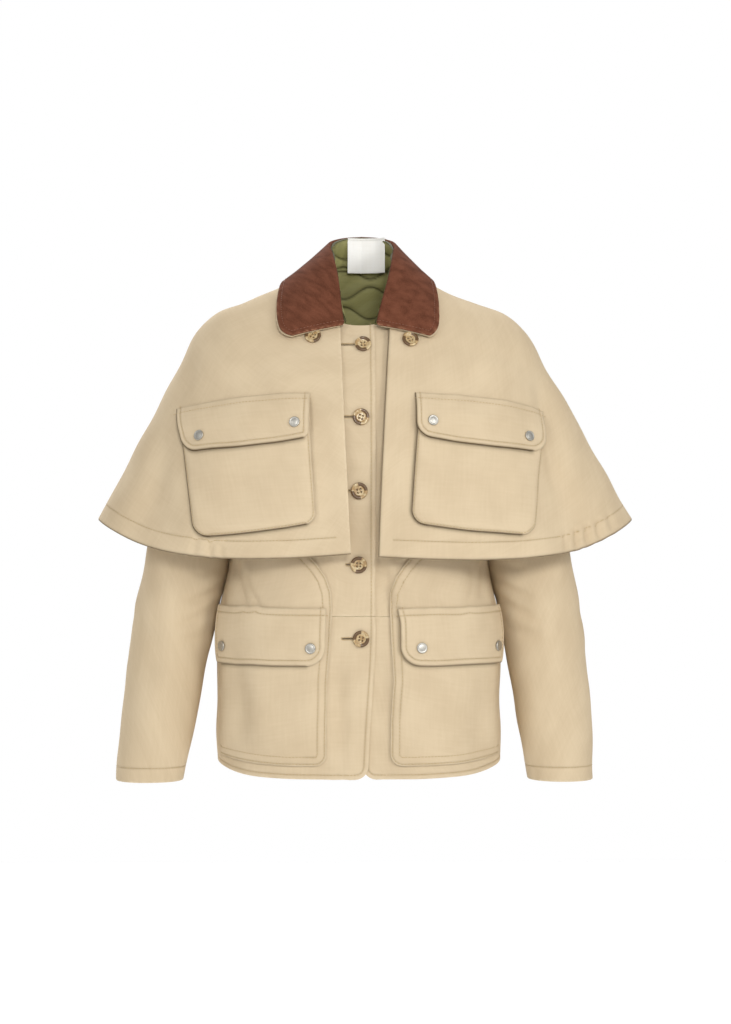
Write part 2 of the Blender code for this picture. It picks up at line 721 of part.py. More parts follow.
def build_cape_pockets(canvas, nickel):
    """A puffed patch pocket on each cape front, under a flap with two snaps."""
    snap_out = CAPE_PATCH_EDGE + CAPE_POCKET_PUFF + FLAP_OVER_POCKET + LAYER_GAP
    for side, sign in SIDES:
        x, z, down = patch_grid(CAPE_POCKETS[side], *CAPE_POCKET_GRID)
        puff = CAPE_POCKET_PUFF * edge_rise(*CAPE_POCKET_GRID) * smooth(*POCKET_FILL, down)
        angle, level = CAPE.front_spot(x, z)
        pocket = face_out(CAPE.place(sign * angle, level, CAPE_PATCH_EDGE + puff), sign)
        cloth(f"cape_pocket_{side}", pocket, POCKET_WALL, canvas)
        x, z, drop = patch_grid(CAPE_FLAPS[side], *CAPE_FLAP_GRID)
        lift = FLAP_OVER_POCKET * smooth(*FLAP_LIFT, drop) + CAPE_POCKET_PUFF * smooth(*FLAP_FOLLOW, drop)
        angle, level = CAPE.front_spot(x, z)
        flap = face_out(CAPE.place(sign * angle, level, CAPE_PATCH_EDGE + lift), sign)
        cloth(f"cape_flap_{side}", flap, POCKET_WALL, canvas)
        for end, spot in zip(("inner", "outer"), CAPE_SNAPS[side]):
            angle, level = CAPE.front_spot(*np.array(spot, float))
            set_snap(f"cape_snap_{side}_{end}", spot_on(CAPE, sign * angle, level, snap_out), nickel)


def face_out(points, sign):
    """Turns a grid's columns round when it was placed on the wearer's right."""
    return points if sign > 0 else points[:, ::-1]


def spot_on(wrap, angle, level, out):
    """A point above the cloth and the direction that the cloth faces there."""
    return wrap.place(angle, level, out), wrap.normal_of(wrap.point, angle, level)


def set_snap(name, spot, nickel):
    turned(name, SNAP_PROFILE, SNAP_RADIUS, SNAP_HEIGHT, SNAP_STEPS, spot, nickel)


def set_button(name, spot, horn):
    turned(name, BUTTON_PROFILE, BUTTON_RADIUS, BUTTON_HEIGHT, BUTTON_STEPS, spot, horn)


def hip_girths():
    """Angles over a quarter of the hip, and the distance round it from centre front to each."""
    angle = np.linspace(0, math.pi / 2, GIRTH_STEPS)
    points = BODY.point(angle, np.full(angle.shape, BODY.level(HIP_RING)))
    steps = np.linalg.norm(np.diff(points, axis=0), axis=-1)
    return angle, np.concatenate([[0], np.cumsum(steps)])


def girth_angle(girth):
    """Angle on the hip at a distance round the girth from centre front."""
    angles, girths = hip_girths()
    return np.interp(girth, girths, angles)


def girth_of(angle_degrees):
    """Distance round the hip from centre front to an angle."""
    angles, girths = hip_girths()
    return float(np.interp(math.radians(angle_degrees), angles, girths))


def hip_grid(inner, outer, z):
    """Angles and levels over a patch on the hip, from its inner and outer edge at each height in front."""
    girth = inner[:, None] + (outer - inner)[:, None] * np.linspace(0, 1, HIP_COLUMNS)
    return girth_angle(girth), np.broadcast_to(BODY.level_at(0.0, z)[:, None], girth.shape)


def hip_pocket_grid(side):
    """Angles, levels and heights above the body over a hip pocket, which puffs out below its flap's seam."""
    corner = [HIP_POCKET_BOTTOM + HIP_POCKET_CORNER * share for share in CORNER_SHARES]
    z = np.array([HIP_POCKET_TOP, *HIP_POCKET_ROWS_Z, *corner, HIP_POCKET_BOTTOM], float)
    heights = [edge.z for edge in HIP_POCKET_INNER[::-1]]
    girths = [getattr(edge, side) for edge in HIP_POCKET_INNER[::-1]]
    inner = np.interp(z, heights, girths) + corner_inset(z - HIP_POCKET_BOTTOM, HIP_POCKET_CORNER)
    outer = np.full(z.shape, girth_of(HIP_POCKET_OUTER_ANGLE))
    angle, level = hip_grid(inner, outer, z)
    fill = smooth(HIP_PUFF_FROM_Z, HIP_PUFF_FULL_Z, z)[:, None]
    return angle, level, HIP_PATCH_EDGE + HIP_POCKET_PUFF * edge_rise(*angle.shape) * fill


def hip_flap_grid(inner, outer):
    """Angles and levels over a hip flap, which reaches from one girth round to another."""
    corner = [HIP_FLAP_BOTTOM + HIP_FLAP_CORNER * share for share in HIP_FLAP_CORNER_SHARES]
    z = np.array([HIP_FLAP_TOP, HIP_FLAP_ROW_Z, *corner, HIP_FLAP_BOTTOM], float)
    rounding = corner_inset(z - HIP_FLAP_BOTTOM, HIP_FLAP_CORNER)
    return hip_grid(inner + rounding, outer - HIP_FLAP_OUTER_CORNER_SHARE * rounding, z)


def build_hip_pockets(canvas, nickel):
    """A large panel pocket on each hip, which runs up under the cape, and its flap with two snaps."""
    flap_outer = girth_of(HIP_FLAP_OUTER_ANGLE)
    flap_lift = HIP_PATCH_EDGE + HIP_POCKET_PUFF + FLAP_OVER_POCKET
    for side, sign in SIDES:
        angle, level, lift = hip_pocket_grid(side)
        pocket = face_out(BODY.place(sign * angle, level, lift), sign)
        cloth(f"hip_pocket_{side}", pocket, POCKET_WALL, canvas)
        flap_inner = HIP_FLAP_INNER[side]
        angle, level = hip_flap_grid(flap_inner, flap_outer)
        flap = BODY.place(sign * angle, level, np.full(angle.shape, flap_lift))
        cloth(f"hip_flap_{side}", face_out(flap, sign), POCKET_WALL, canvas)
        for end, girth in (("inner", flap_inner + HIP_SNAP_IN[side]), ("outer", flap_outer - HIP_SNAP_OUT)):
            snap_angle = girth_angle(np.array(girth))
            snap_level = BODY.level_at(snap_angle, np.array(float(HIP_SNAP_Z)))
            spot = spot_on(BODY, sign * snap_angle, snap_level, flap_lift + LAYER_GAP)
            set_snap(f"hip_snap_{side}_{end}", spot, nickel)


def build_buttons(horn):
    """Dished horn buttons down the right front, and two that hold the cape under the collar."""
    for number, x in enumerate(BUTTON_X):
        level = BODY.level_at(0.0, np.array(float(FIRST_BUTTON_Z - number * BUTTON_PITCH)))
        angle = BODY.angle_at(np.array(float(x)), level)
        set_button(f"button_{number + 1}", spot_on(BODY, angle, level, BUTTON_GAP), horn)
    for side, sign in SIDES:
        angle, level = CAPE.front_spot(*np.array(CAPE_BUTTONS[side], float))
        set_button(f"cape_button_{side}", spot_on(CAPE, sign * angle, level, BUTTON_GAP), horn)


def lining_levels():
    """Rows of the lining, two to each quilted channel, with a wall thinned on every quilting line."""
    top = BODY.level(LINING_TOP_RING)
    bottom = BODY.level_at(math.pi, np.array(float(LINING_HEM_Z)))
    count = 2 * round((LINING_TOP_Z - LINING_HEM_Z) / QUILT_PITCH) + 1
    levels = np.linspace(top, bottom, count)
    weights = np.where(np.arange(count) % 2, 1.0, QUILT_SEAM_SHARE)
    return levels, weights


def lining_grid(start, end, columns):
    """A lining panel inside the body: its quilting lines are waves round the girth."""
    levels, weights = lining_levels()
    angle = start(levels)[:, None] + (end(levels) - start(levels))[:, None] * np.linspace(0, 1, columns)
    down = np.linspace(0, 1, len(levels))
    ease = smooth(0, QUILT_EASE, down) * smooth(1, 1 - QUILT_EASE, down)
    wave = QUILT_WAVE / abs(HEM_Z) * np.sin(2 * QUILT_WAVES * angle) * ease[:, None]
    level = levels[:, None] + wave
    return angle, level, np.broadcast_to(weights[:, None], angle.shape)


def build_lining(quilt):
    """Quilted lining of the back and of both fronts, inside the canvas."""

    def inside_edge(level):
        return front_edge(level, LINING_EDGE, LINING_ARMHOLE_GROW)

    def inside_back(level):
        return back_edge(level, LINING_EDGE, LINING_ARMHOLE_GROW)

    def facing(level):
        return BODY.angle_at(np.full(level.shape, float(LINING_FRONT_X)), level)

    def far_back(level):
        return 2 * math.pi - inside_back(level)

    angle, level, weights = lining_grid(inside_back, far_back, LINING_BACK_COLUMNS)
    points = BODY.place(angle, level, np.full(angle.shape, -LINING_BACK_IN))
    cloth("lining_back", points, QUILT_WALL, quilt, weights=weights)
    angle, level, weights = lining_grid(facing, inside_edge, LINING_FRONT_COLUMNS)
    left = BODY.place(angle, level, -LINING_FRONT_IN + tuck(angle, level))
    cloth("lining_front_left", left, QUILT_WALL, quilt, weights=weights)
    right = BODY.place(angle, level, np.full(angle.shape, -LINING_FRONT_IN))
    cloth("lining_front_right", mirrored(right), QUILT_WALL, quilt, weights=weights[:, ::-1])


def build_label(stand, white):
    """A plain woven label that hangs plumb inside the back of the neck, against the stand's inner face."""
    x = LABEL_X + np.linspace(LABEL_WIDTH / 2, -LABEL_WIDTH / 2, LABEL_COLUMNS)
    z = np.linspace(LABEL_TOP_Z, LABEL_TOP_Z - LABEL_DROP, LABEL_ROWS)
    behind = stand[:, stand[0, :, 1] > 0]
    inner = behind - grid_normals(behind) * (STAND_WALL + LAYER_GAP)
    y = np.array([np.interp(x, row[::-1, 0], row[::-1, 1]) for row in inner]).min(axis=0)
    across, down = np.meshgrid(x, z)
    points = np.stack([across, np.broadcast_to(y, across.shape), down], axis=-1)
    cloth("label", points, LABEL_WALL, white)


def main():
    for old in list(bpy.data.objects):
        bpy.data.objects.remove(old)
    bpy.context.scene.collection.children.link(bpy.data.collections.new("cape_jacket"))
    canvas = make_material(COTTON_CANVAS)
    quilt = make_material(OLIVE_QUILTING)
    nickel = make_material(NICKEL)
    build_fronts(canvas)
    build_back(canvas)
    build_sleeves(canvas)
    build_cape(canvas)
    stand = build_collar(make_material(BROWN_SUEDE), canvas, quilt)
    build_cape_pockets(canvas, nickel)
    build_hip_pockets(canvas, nickel)
    build_buttons(make_material(HORN))
    build_lining(quilt)
    build_label(stand, make_material(WOVEN_LABEL))


main()
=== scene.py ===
"""Looks of the cape jacket: cloth with its creases and sewing, horn buttons, snaps, and the studio round it.

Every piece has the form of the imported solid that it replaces. Sizes are in millimetres until a mesh is made.
+Z is up, the front faces -Y and the wearer's left is +X.
"""

import logging
import math
from dataclasses import dataclass, field
from enum import Enum
from functools import partial
from typing import Any, Callable, ClassVar, NamedTuple

import bpy
import numpy as np
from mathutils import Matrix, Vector


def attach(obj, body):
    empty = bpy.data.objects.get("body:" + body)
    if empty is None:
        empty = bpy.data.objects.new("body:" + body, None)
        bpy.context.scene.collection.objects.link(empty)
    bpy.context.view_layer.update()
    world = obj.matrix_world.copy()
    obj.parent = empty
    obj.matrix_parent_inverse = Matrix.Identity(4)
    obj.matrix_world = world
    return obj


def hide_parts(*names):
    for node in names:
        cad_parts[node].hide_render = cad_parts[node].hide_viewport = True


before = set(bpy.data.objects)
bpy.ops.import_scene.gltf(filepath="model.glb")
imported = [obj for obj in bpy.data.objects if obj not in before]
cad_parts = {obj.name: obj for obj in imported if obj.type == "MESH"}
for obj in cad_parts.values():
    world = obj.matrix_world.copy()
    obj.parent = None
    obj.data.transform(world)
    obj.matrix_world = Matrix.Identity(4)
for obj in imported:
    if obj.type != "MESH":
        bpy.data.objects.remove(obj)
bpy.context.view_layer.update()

LOG = logging.getLogger("cape_jacket")
Grid = np.ndarray
Pair = tuple[float, float]
Triple = tuple[float, float, float]
AngleOf = Callable[[Grid], Grid]
MM = 0.001
WEARER = "root"

# The wearer's sides, and the sign of x on each
SIDES = (("left", 1), ("right", -1))

# Walls, gaps and layers, as in the solids
CANVAS = 1.6
POCKET_WALL = 1.4
SUEDE = 1.5
UNDER_COLLAR_WALL = 1.2
STAND_WALL = 1.6
LABEL_WALL = 1.0
QUILT_WALL = 3.0
LAYER_GAP = 0.5
BUTTON_GAP = 0.25
SEAM = 0.3
SHARP_ANGLE = 50

# Grid spacing: steps across a fold or a row of stitches, and the length beside an edge that keeps true steps
RIB = (-2.6, -1.5, -0.7, 0.0, 0.7, 1.5, 2.6)
LEAST_STEP = 0.4
EDGE_BAND = 28.0
LATTICE = 161
INNER_STEP = 2

# Sewing. The thread is drawn twice as thick as a real topstitching thread, so that it shows.
STITCH_LENGTH = 3.0
STITCH_PITCH = 4.2
THREAD = 0.8
TROUGH_WIDTH = 1.2
TROUGH_DEPTH = 0.55
PATH_STEP = 0.6
CLEAR_OF_EDGE = 0.94
EDGE_ROLL = 0.6
EDGE_ROLL_WIDTH = 0.8
WEAR_WIDTH = 2.2
# Painted shade: how far it spreads beside an edge, how dark it is painted in a seam's trough, and its faint
# share along a patch's other edges
SHADE_WIDTH = 1.6
SEAM_SHADE = 0.2
FAINT_SHADE = 0.25

# Where a crease fades in and out along its length, where front ones give way to back ones, where drift begins
CREASE_IN = (-0.2, 0.3)
CREASE_OUT = (1.2, 0.7)
FRONT_BLEND = 0.15
DRIFT_BELOW = 0.25

# Limits of the working: halvings of a search, and distances held at once
HALVINGS = 40
DISTANCES = 4_000_000
UP = np.array([0.0, 0.0, 1.0])


class Ring(NamedTuple):
    """A level of cloth round the wearer: its sides, front and back, and the powers that shape its outline."""

    side_x: float
    side_z: float
    front_y: float
    front_z: float
    back_y: float
    back_z: float
    square: float
    rise: float


class Fold(NamedTuple):
    """A fold of the cape: its angle at the neck and hem and its half width in degrees, and its height."""

    top_angle: float
    hem_angle: float
    half_width: float
    height: float


class Crease(NamedTuple):
    """A soft trough or ridge between two points of the front view: its bow, half width and height."""

    x0: float
    z0: float
    x1: float
    z1: float
    bow: float
    half_width: float
    height: float


class Wave(NamedTuple):
    """A slow wave in cloth that hangs: its lengths across and down, its turn and its height."""

    across: float
    down: float
    turn: float
    height: float


class Section(NamedTuple):
    """A section of the sleeve: its outer and inner edge in the front view, and its depth."""

    outer_x: float
    outer_z: float
    inner_x: float
    inner_z: float
    centre_y: float
    half_depth: float


class Leaf(NamedTuple):
    """A section of the collar: the place on the cape under its edge, its lift there, and its roll."""

    angle: float
    edge_ring: float
    lift: float
    roll_x: float
    roll_y: float
    roll_z: float


class Edge(NamedTuple):
    """A height on the hip pockets' inner edges, and each side's distance round from centre front there."""

    z: float
    left: float
    right: float


class Patch(NamedTuple):
    """A four-cornered patch as the front view shows it: x from the cape's own middle line, and z."""

    inner_top: Pair
    outer_top: Pair
    outer_bottom: Pair
    inner_bottom: Pair
    bow: float
    sag: float
    inner_corner: float
    outer_corner: float


class Span(NamedTuple):
    """A range of values that is stretched to run from 0 to 1."""

    low: float
    high: float

    def of(self, value: Any) -> dict[str, Any]:
        """The inputs of a range node that stretches a value."""
        return {"Value": value, "From Min": self.low, "From Max": self.high}


class Turn(NamedTuple):
    """A point of a turned profile, as shares of the radius and height."""

    radius: float
    height: float


BODY_RINGS = (
    Ring(66, -6, -90, -80, 68, 2, 2.0, 2.8),
    Ring(102, -33, -104, -112, 84, -18, 2.0, 2.0),
    Ring(146, -53, -116, -140, 100, -46, 2.05, 2.0),
    Ring(186, -69, -124, -165, 112, -82, 2.1, 2.2),
    Ring(179, -122, -129, -190, 116, -132, 2.3, 2.2),
    Ring(168, -182, -132, -216, 117, -190, 2.4, 2.0),
    Ring(160, -240, -133, -247, 116, -244, 2.5, 2.0),
    Ring(160, -310, -131, -310, 112, -310, 2.5, 2.0),
    Ring(163.5, -380, -127, -380, 109, -380, 2.5, 2.0),
    Ring(177, -440, -127, -440, 111, -440, 2.5, 2.0),
    Ring(180.5, -500, -128, -500, 115, -500, 2.5, 2.0),
    Ring(181, -570, -129, -570, 117, -570, 2.5, 2.0),
    Ring(180, -627, -130, -640, 118, -640, 2.5, 5.0),
)
SHOULDER_RING = 3
UNDERARM_RING = 6
CAPE_RINGS = (
    Ring(73, -8.0, -95.6, -85.6, 74.2, -1.2, 2.0, 2.0),
    Ring(104, -27, -112, -116, 90, -14, 2.0, 2.0),
    Ring(148, -45, -126, -151, 107, -42, 2.05, 2.0),
    Ring(186, -60, -136, -185, 121, -78, 2.1, 2.2),
    Ring(210, -82, -143, -220, 131, -122, 2.15, 2.6),
    Ring(233, -124, -147, -255, 139, -172, 2.2, 3.0),
    Ring(269, -190, -151, -295, 145, -238, 2.2, 3.4),
    Ring(305, -256, -155, -335, 150, -306, 2.2, 3.8),
    Ring(341, -321, -159, -374, 155, -374, 2.2, 4.0),
)
CAPE_FOLDS = (
    Fold(74, 49, 10, -11),
    Fold(-74, -53, 11, -7),
    Fold(118, 128, 11, -10),
    Fold(-118, -126, 12, -9),
    Fold(150, 154, 9, 8),
    Fold(-152, -157, 9, 7),
)
FOLD_START = 0.45
CAPE_SWAY = 9.0
SWAY_POWER = 1.5

# Creases that the cloth takes when it is worn, in the front view. Those of the back are seen through it.
BODY_FRONT_CREASES = (
    Crease(-160, -330, -182, -495, 0, 17, 1.9),
    Crease(160, -330, 182, -495, 0, 17, 1.9),
    Crease(-152, -372, -138, -428, 3, 5, -4.4),
    Crease(-140, -384, -122, -430, 4, 6, -3.4),
    Crease(-146, -356, -131, -410, 0, 6, 2.4),
    Crease(-154, -496, -147, -604, -4, 13, -5.0),
    Crease(-128, -505, -120, -600, -3, 14, 2.6),
    Crease(152, -366, 146, -420, -3, 5, -3.8),
    Crease(140, -384, 128, -428, -3, 6, -2.8),
    Crease(154, -515, 148, -610, 4, 13, -3.6),
    Crease(24, -368, 41, -438, 2, 6, -4.4),
    Crease(37, -362, 51, -430, 2, 6.5, 2.0),
    Crease(20, -392, 26, -446, -1, 5, -2.8),
    Crease(-25, -486, -24, -636, 3, 9, -3.4),
    Crease(-9, -500, -11, -632, 0, 8, 1.4),
    Crease(27, -500, 31, -634, -3, 10, -3.0),
    Crease(-20, -300, -26, -420, -2, 9, -1.6),
    Crease(-15, -88, -2, -92, 1, 2.2, -1.0),
    Crease(-18, -95, -6, -97, -1, 2.4, -0.9),
)
BODY_BACK_CREASES = (
    Crease(-160, -330, -182, -495, 0, 17, 1.9),
    Crease(160, -330, 182, -495, 0, 17, 1.9),
    Crease(-66, -372, -22, -436, 10, 9, -4.4),
    Crease(70, -366, 20, -430, -9, 8, -3.8),
    Crease(-128, -380, -84, -426, 8, 8, -2.6),
    Crease(132, -388, 92, -428, -7, 7, -2.2),
    Crease(-100, -450, -116, -620, 5, 14, -5.0),
    Crease(84, -462, 98, -628, -5, 15, -4.6),
    Crease(-24, -470, -34, -634, 3, 16, 2.2),
    Crease(36, -484, 44, -630, -3, 14, 1.8),
)
CAPE_FRONT_CREASES = (
    Crease(229, -140, 254, -296, 4, 11, -6.0),
    Crease(256, -150, 282, -304, 4, 14, 3.0),
    Crease(204, -112, 236, -166, 6, 13, -1.8),
    Crease(-240, -190, -284, -338, -8, 16, -4.2),
    Crease(-206, -112, -240, -176, -5, 12, -1.8),
    Crease(258, -334, 257, -360, 0, 3.6, -2.6),
    Crease(273, -329, 274, -355, 0, 3.8, -4.4),
    Crease(286, -325, 288, -350, 0, 4.0, -4.8),
    Crease(299, -320, 303, -344, 0, 4.2, -4.2),
    Crease(313, -313, 319, -336, 0, 4.6, -3.0),
    Crease(-172, -352, -170, -374, 0, 3.4, -2.2),
    Crease(-186, -348, -185, -371, 0, 3.8, -2.6),
    Crease(-203, -344, -206, -367, 0, 4.6, -1.8),
    Crease(120, -108, 196, -112, 5, 11, -1.4),
    Crease(-118, -102, -190, -112, -5, 12, -1.4),
    Crease(40, -240, 36, -360, 2, 9, -1.4),
    Crease(-44, -238, -36, -352, -2, 10, -1.4),
)
CAPE_BACK_CREASES = (
    Crease(-40, -80, -70, -236, 6, 13, -4.6),
    Crease(46, -86, 80, -226, -6, 12, -4.0),
    Crease(-4, -200, 6, -366, 4, 15, -5.0),
    Crease(-206, -120, -250, -230, 6, 12, -4.0),
    Crease(208, -124, 254, -222, -6, 11, -3.6),
    Crease(-96, -352, -98, -373, 0, 4, -2.0),
    Crease(-112, -350, -113, -372, 0, 4.4, -2.4),
    Crease(142, -350, 144, -372, 0, 4, -2.2),
    Crease(127, -352, 128, -373, 0, 3.6, -1.8),
)
SLEEVE_FRONT_CREASES = (
    Crease(162, -318, 190, -500, 0, 17, 2.2),
    Crease(168, -392, 214, -418, 5, 6, -3.8),
    Crease(172, -414, 228, -446, 6, 7, -3.2),
    Crease(176, -372, 206, -384, 3, 5, -1.8),
    Crease(182, -448, 236, -470, 6, 8, -2.6),
    Crease(286, -432, 250, -466, -5, 8, -1.6),
    Crease(292, -486, 246, -508, -4, 9, -1.5),
    Crease(205, -560, 258, -572, 5, 9, -1.3),
    Crease(240, -390, 250, -560, 6, 16, 1.6),
)
SLEEVE_BACK_CREASES = (
    Crease(162, -318, 190, -500, 0, 17, 2.2),
    Crease(170, -384, 224, -430, 6, 7, -3.0),
    Crease(176, -420, 240, -462, 7, 8, -2.6),
    Crease(286, -440, 236, -486, -6, 8, -2.4),
    Crease(290, -474, 240, -520, -6, 9, -2.0),
    Crease(206, -548, 262, -580, 5, 9, -1.6),
)
DRIFT_WAVES = (
    Wave(71, 113, 0.4, 0.42),
    Wave(-97, 151, 1.7, 0.5),
    Wave(173, -67, 3.1, 0.36),
    Wave(53, 211, 5.2, 0.36),
)

SLEEVE_SECTIONS = (
    Section(206, -97, 161.5, -252, 0, 68),
    Section(222, -134, 163, -272, -1, 66),
    Section(234, -182, 164, -302, -2, 64),
    Section(253, -281, 164, -346, -4, 61),
    Section(270, -362, 166.3, -386, -6, 58),
    Section(286, -450, 184, -455, -9, 54),
    Section(298, -553, 200, -553, -14, 49),
    Section(303, -651, 219, -651, -20, 43.5),
)
COLLAR_LEAVES = (
    Leaf(40.5, 1.77, 9.8, 22, -99, -80),
    Leaf(47, 1.72, 9.8, 27, -87, -54),
    Leaf(58, 1.42, 7.8, 33, -70, -25),
    Leaf(74, 1.00, 6.0, 39, -45, 3),
    Leaf(91, 0.73, 5.4, 43, -18, 20),
    Leaf(108, 0.80, 5.4, 45, 9, 29),
    Leaf(130, 1.02, 5.4, 41, 36, 38),
    Leaf(155, 1.20, 5.4, 24, 56, 44),
    Leaf(180, 1.28, 5.4, 0, 63, 46),
)
HIP_POCKET_INNER = (
    Edge(-345, 104, 104),
    Edge(-362, 74, 74),
    Edge(-376, 59, 59),
    Edge(-392, 46, 46),
    Edge(-410, 38.5, 38.5),
    Edge(-432, 36, 36),
    Edge(-470, 37, 37),
    Edge(-520, 40, 41),
    Edge(-570, 36.5, 42),
    Edge(-640, 36.5, 42),
)
HIP_FLAP_INNER = {"left": 47.5, "right": 43.0}
HIP_SNAP_IN = {"left": 27.0, "right": 18.0}
CAPE_POCKETS = {
    "left": Patch((69, -176), (229, -193), (206, -340.5), (52.5, -325), 3, 3, 17, 17),
    "right": Patch((66.5, -176), (232.5, -193), (212, -343), (62, -325), 3, 3, 12, 17),
}
CAPE_FLAPS = {
    "left": Patch((64, -166), (230, -183), (223, -238), (63.5, -219), 4, 3, 16, 17),
    "right": Patch((64, -166), (235, -183), (223, -238), (66.5, -221.5), 4, 3, 7, 17),
}
CAPE_SNAPS = {"left": ((82.5, -202), (202, -219)), "right": ((82.6, -204), (201, -218.7))}
CAPE_BUTTONS = {"left": (61, -99), "right": (59, -95)}
BUTTON_PROFILE = (
    Turn(0, 0.59),
    Turn(0.5, 0.59),
    Turn(0.6, 0.7),
    Turn(0.68, 0.9),
    Turn(0.78, 0.99),
    Turn(0.88, 0.99),
    Turn(0.97, 0.85),
    Turn(1.0, 0.68),
    Turn(0.98, 0.4),
    Turn(0.9, 0.16),
    Turn(0.73, 0.02),
    Turn(0, 0),
)
SNAP_RADIUS = 6.6
SNAP_HEIGHT = 2.4
SNAP_PROFILE = (
    Turn(0, 1.0),
    Turn(0.3, 0.97),
    Turn(0.5, 0.91),
    Turn(0.66, 0.81),
    Turn(0.71, 0.8),
    Turn(0.77, 0.87),
    Turn(0.84, 0.93),
    Turn(0.9, 0.9),
    Turn(0.96, 0.8),
    Turn(1.0, 0.5),
    Turn(0.99, 0.25),
    Turn(0.92, 0),
    Turn(0, 0),
)


def smooth(start: float, end: float, value: Any) -> Grid:
    """0 before start, 1 after end and an even S between them."""
    share = np.clip((np.asarray(value, float) - start) / (end - start), 0, 1)
    return share * share * (3 - 2 * share)


def bell(value: Any) -> Grid:
    """A bell curve of height 1 and half width 1."""
    return np.exp(-np.square(value))


def unit(vectors: Grid) -> Grid:
    """The vectors at length 1."""
    return vectors / np.maximum(np.linalg.norm(vectors, axis=-1, keepdims=True), 1e-12)


def spline(rows: Any, at: Any) -> Grid:
    """Catmull-Rom curve through rows that are evenly spaced from 0 to 1.

    Args:
        rows: The values that the curve passes through.
        at: Where on the curve, from 0 to 1.

    Returns:
        The curve's values, with the rows' columns on the last axis.
    """
    rows = np.asarray(rows, float)
    last = len(rows) - 1
    place = np.clip(np.asarray(at, float), 0, 1) * last
    start = np.minimum(place.astype(int), last - 1)
    part = (place - start)[..., None]
    padded = np.concatenate([2 * rows[:1] - rows[1:2], rows, 2 * rows[-1:] - rows[-2:-1]])
    before, here, after, beyond = (padded[start + step] for step in range(4))
    bend = 2 * before - 5 * here + 4 * after - beyond
    twist = 3 * (here - after) + beyond - before
    return here + 0.5 * part * (after - before + part * (bend + part * twist))


def corner_inset(height: Any, radius: float) -> Grid:
    """How far a rounded corner of this radius draws an edge in, at a height above the corner's foot."""
    depth = np.clip(radius - np.asarray(height, float), 0, radius)
    return radius - np.sqrt(radius * radius - depth * depth)


def run_along(points: Grid) -> Grid:
    """Distance travelled along the last but one axis of some points, from 0."""
    steps = np.linalg.norm(np.diff(points[..., :3], axis=-2), axis=-1)
    return np.concatenate([np.zeros((*steps.shape[:-1], 1)), np.cumsum(steps, axis=-1)], axis=-1)


def row_interp(at: Grid, known: Grid, values: Grid) -> Grid:
    """Interpolates within each row, with the rows set end to end on one long axis.

    Args:
        at: Where to read each row.
        known: The rising places that each row's values belong to.
        values: The values.

    Returns:
        The values at each place asked for.
    """
    known, values = np.broadcast_arrays(known, values)
    shift = np.arange(len(known))[:, None] * 2 * (np.abs(known).max() + 1)
    return np.interp((at + shift).ravel(), (known + shift).ravel(), values.ravel()).reshape(at.shape)


def stations(length: float, coarse: float, lines: tuple[float, ...] = ()) -> Grid:
    """Places along a length: a fine cluster at both ends and on each line, and even steps between.

    Args:
        length: The length to divide.
        coarse: The longest step.
        lines: Places that need fine steps, such as a row of stitches.

    Returns:
        The places in order, from 0 to the length.
    """
    marks = np.array([line + step for line in (0.0, *lines, length) for step in RIB])
    marks = np.unique(np.clip(marks, 0, length))
    kept = np.concatenate([[True], np.diff(marks) > LEAST_STEP])
    marks = marks[kept]
    marks[-1] = length
    counts = np.ceil(np.diff(marks) / coarse).astype(int)
    runs = [np.linspace(a, b, n, endpoint=False) for a, b, n in zip(marks[:-1], marks[1:], counts)]
    return np.concatenate([*runs, marks[-1:]])


def fit_stations(places: Grid, length: Grid) -> Grid:
    """Fits stations to other lengths: true beside both ends, and stretched evenly between.

    Args:
        places: The stations on their own length.
        length: The lengths to fit them to.

    Returns:
        A row of places for each length.
    """
    band = min(EDGE_BAND, places[-1] / 3)
    length = np.asarray(length, float)[..., None]
    middle = band + (places - band) * (length - 2 * band) / (places[-1] - 2 * band)
    beyond = places - places[-1] + length
    return np.where(places < band, places, np.where(places > places[-1] - band, beyond, middle))


def resample(line: Grid, step: float) -> Grid:
    """A line with points an even step apart. Columns past the third are carried along.

    Args:
        line: Points in order, one to a row.
        step: Distance between the new points.

    Returns:
        The new points.
    """
    run = run_along(line)
    at = np.linspace(0, run[-1], max(2, round(run[-1] / step) + 1))
    return np.stack([np.interp(at, run, column) for column in line.T], axis=-1)


def nearest(points: Grid, cloud: Grid) -> tuple[Grid, Grid]:
    """Finds the nearest point of a cloud to each point, a block at a time.

    Args:
        points: The points to start from.
        cloud: The points to look among.

    Returns:
        The index of each nearest point, and its distance.
    """
    block = max(1, DISTANCES // len(cloud))
    square = np.sum(cloud * cloud, axis=-1)
    index = np.empty(len(points), int)
    for first in range(0, len(points), block):
        part = points[first : first + block]
        index[first : first + block] = np.argmin(square - 2 * part @ cloud.T, axis=1)
    return index, np.linalg.norm(points - cloud[index], axis=-1)


def distance(points: Grid, line: Grid) -> Grid:
    """Distance of each point from a line."""
    return nearest(points.reshape(-1, 3), resample(line, PATH_STEP))[1].reshape(points.shape[:-1])


def crease_height(creases: tuple[Crease, ...], x: Grid, z: Grid) -> Grid:
    """Height of some creases: each is a bell across its bowed line that fades out past both ends.

    Args:
        creases: The creases.
        x: Places across the front view.
        z: Places up it.

    Returns:
        The height at each place.
    """
    height = np.zeros(np.broadcast(x, z).shape)
    for crease in creases:
        along_x, along_z = crease.x1 - crease.x0, crease.z1 - crease.z0
        length = math.hypot(along_x, along_z)
        share = ((x - crease.x0) * along_x + (z - crease.z0) * along_z) / length**2
        across = ((x - crease.x0) * along_z - (z - crease.z0) * along_x) / length
        across = across - crease.bow * 4 * share * (1 - share)
        fade = smooth(*CREASE_IN, share) * smooth(*CREASE_OUT, share)
        height += crease.height * bell(across / crease.half_width) * fade
    return height


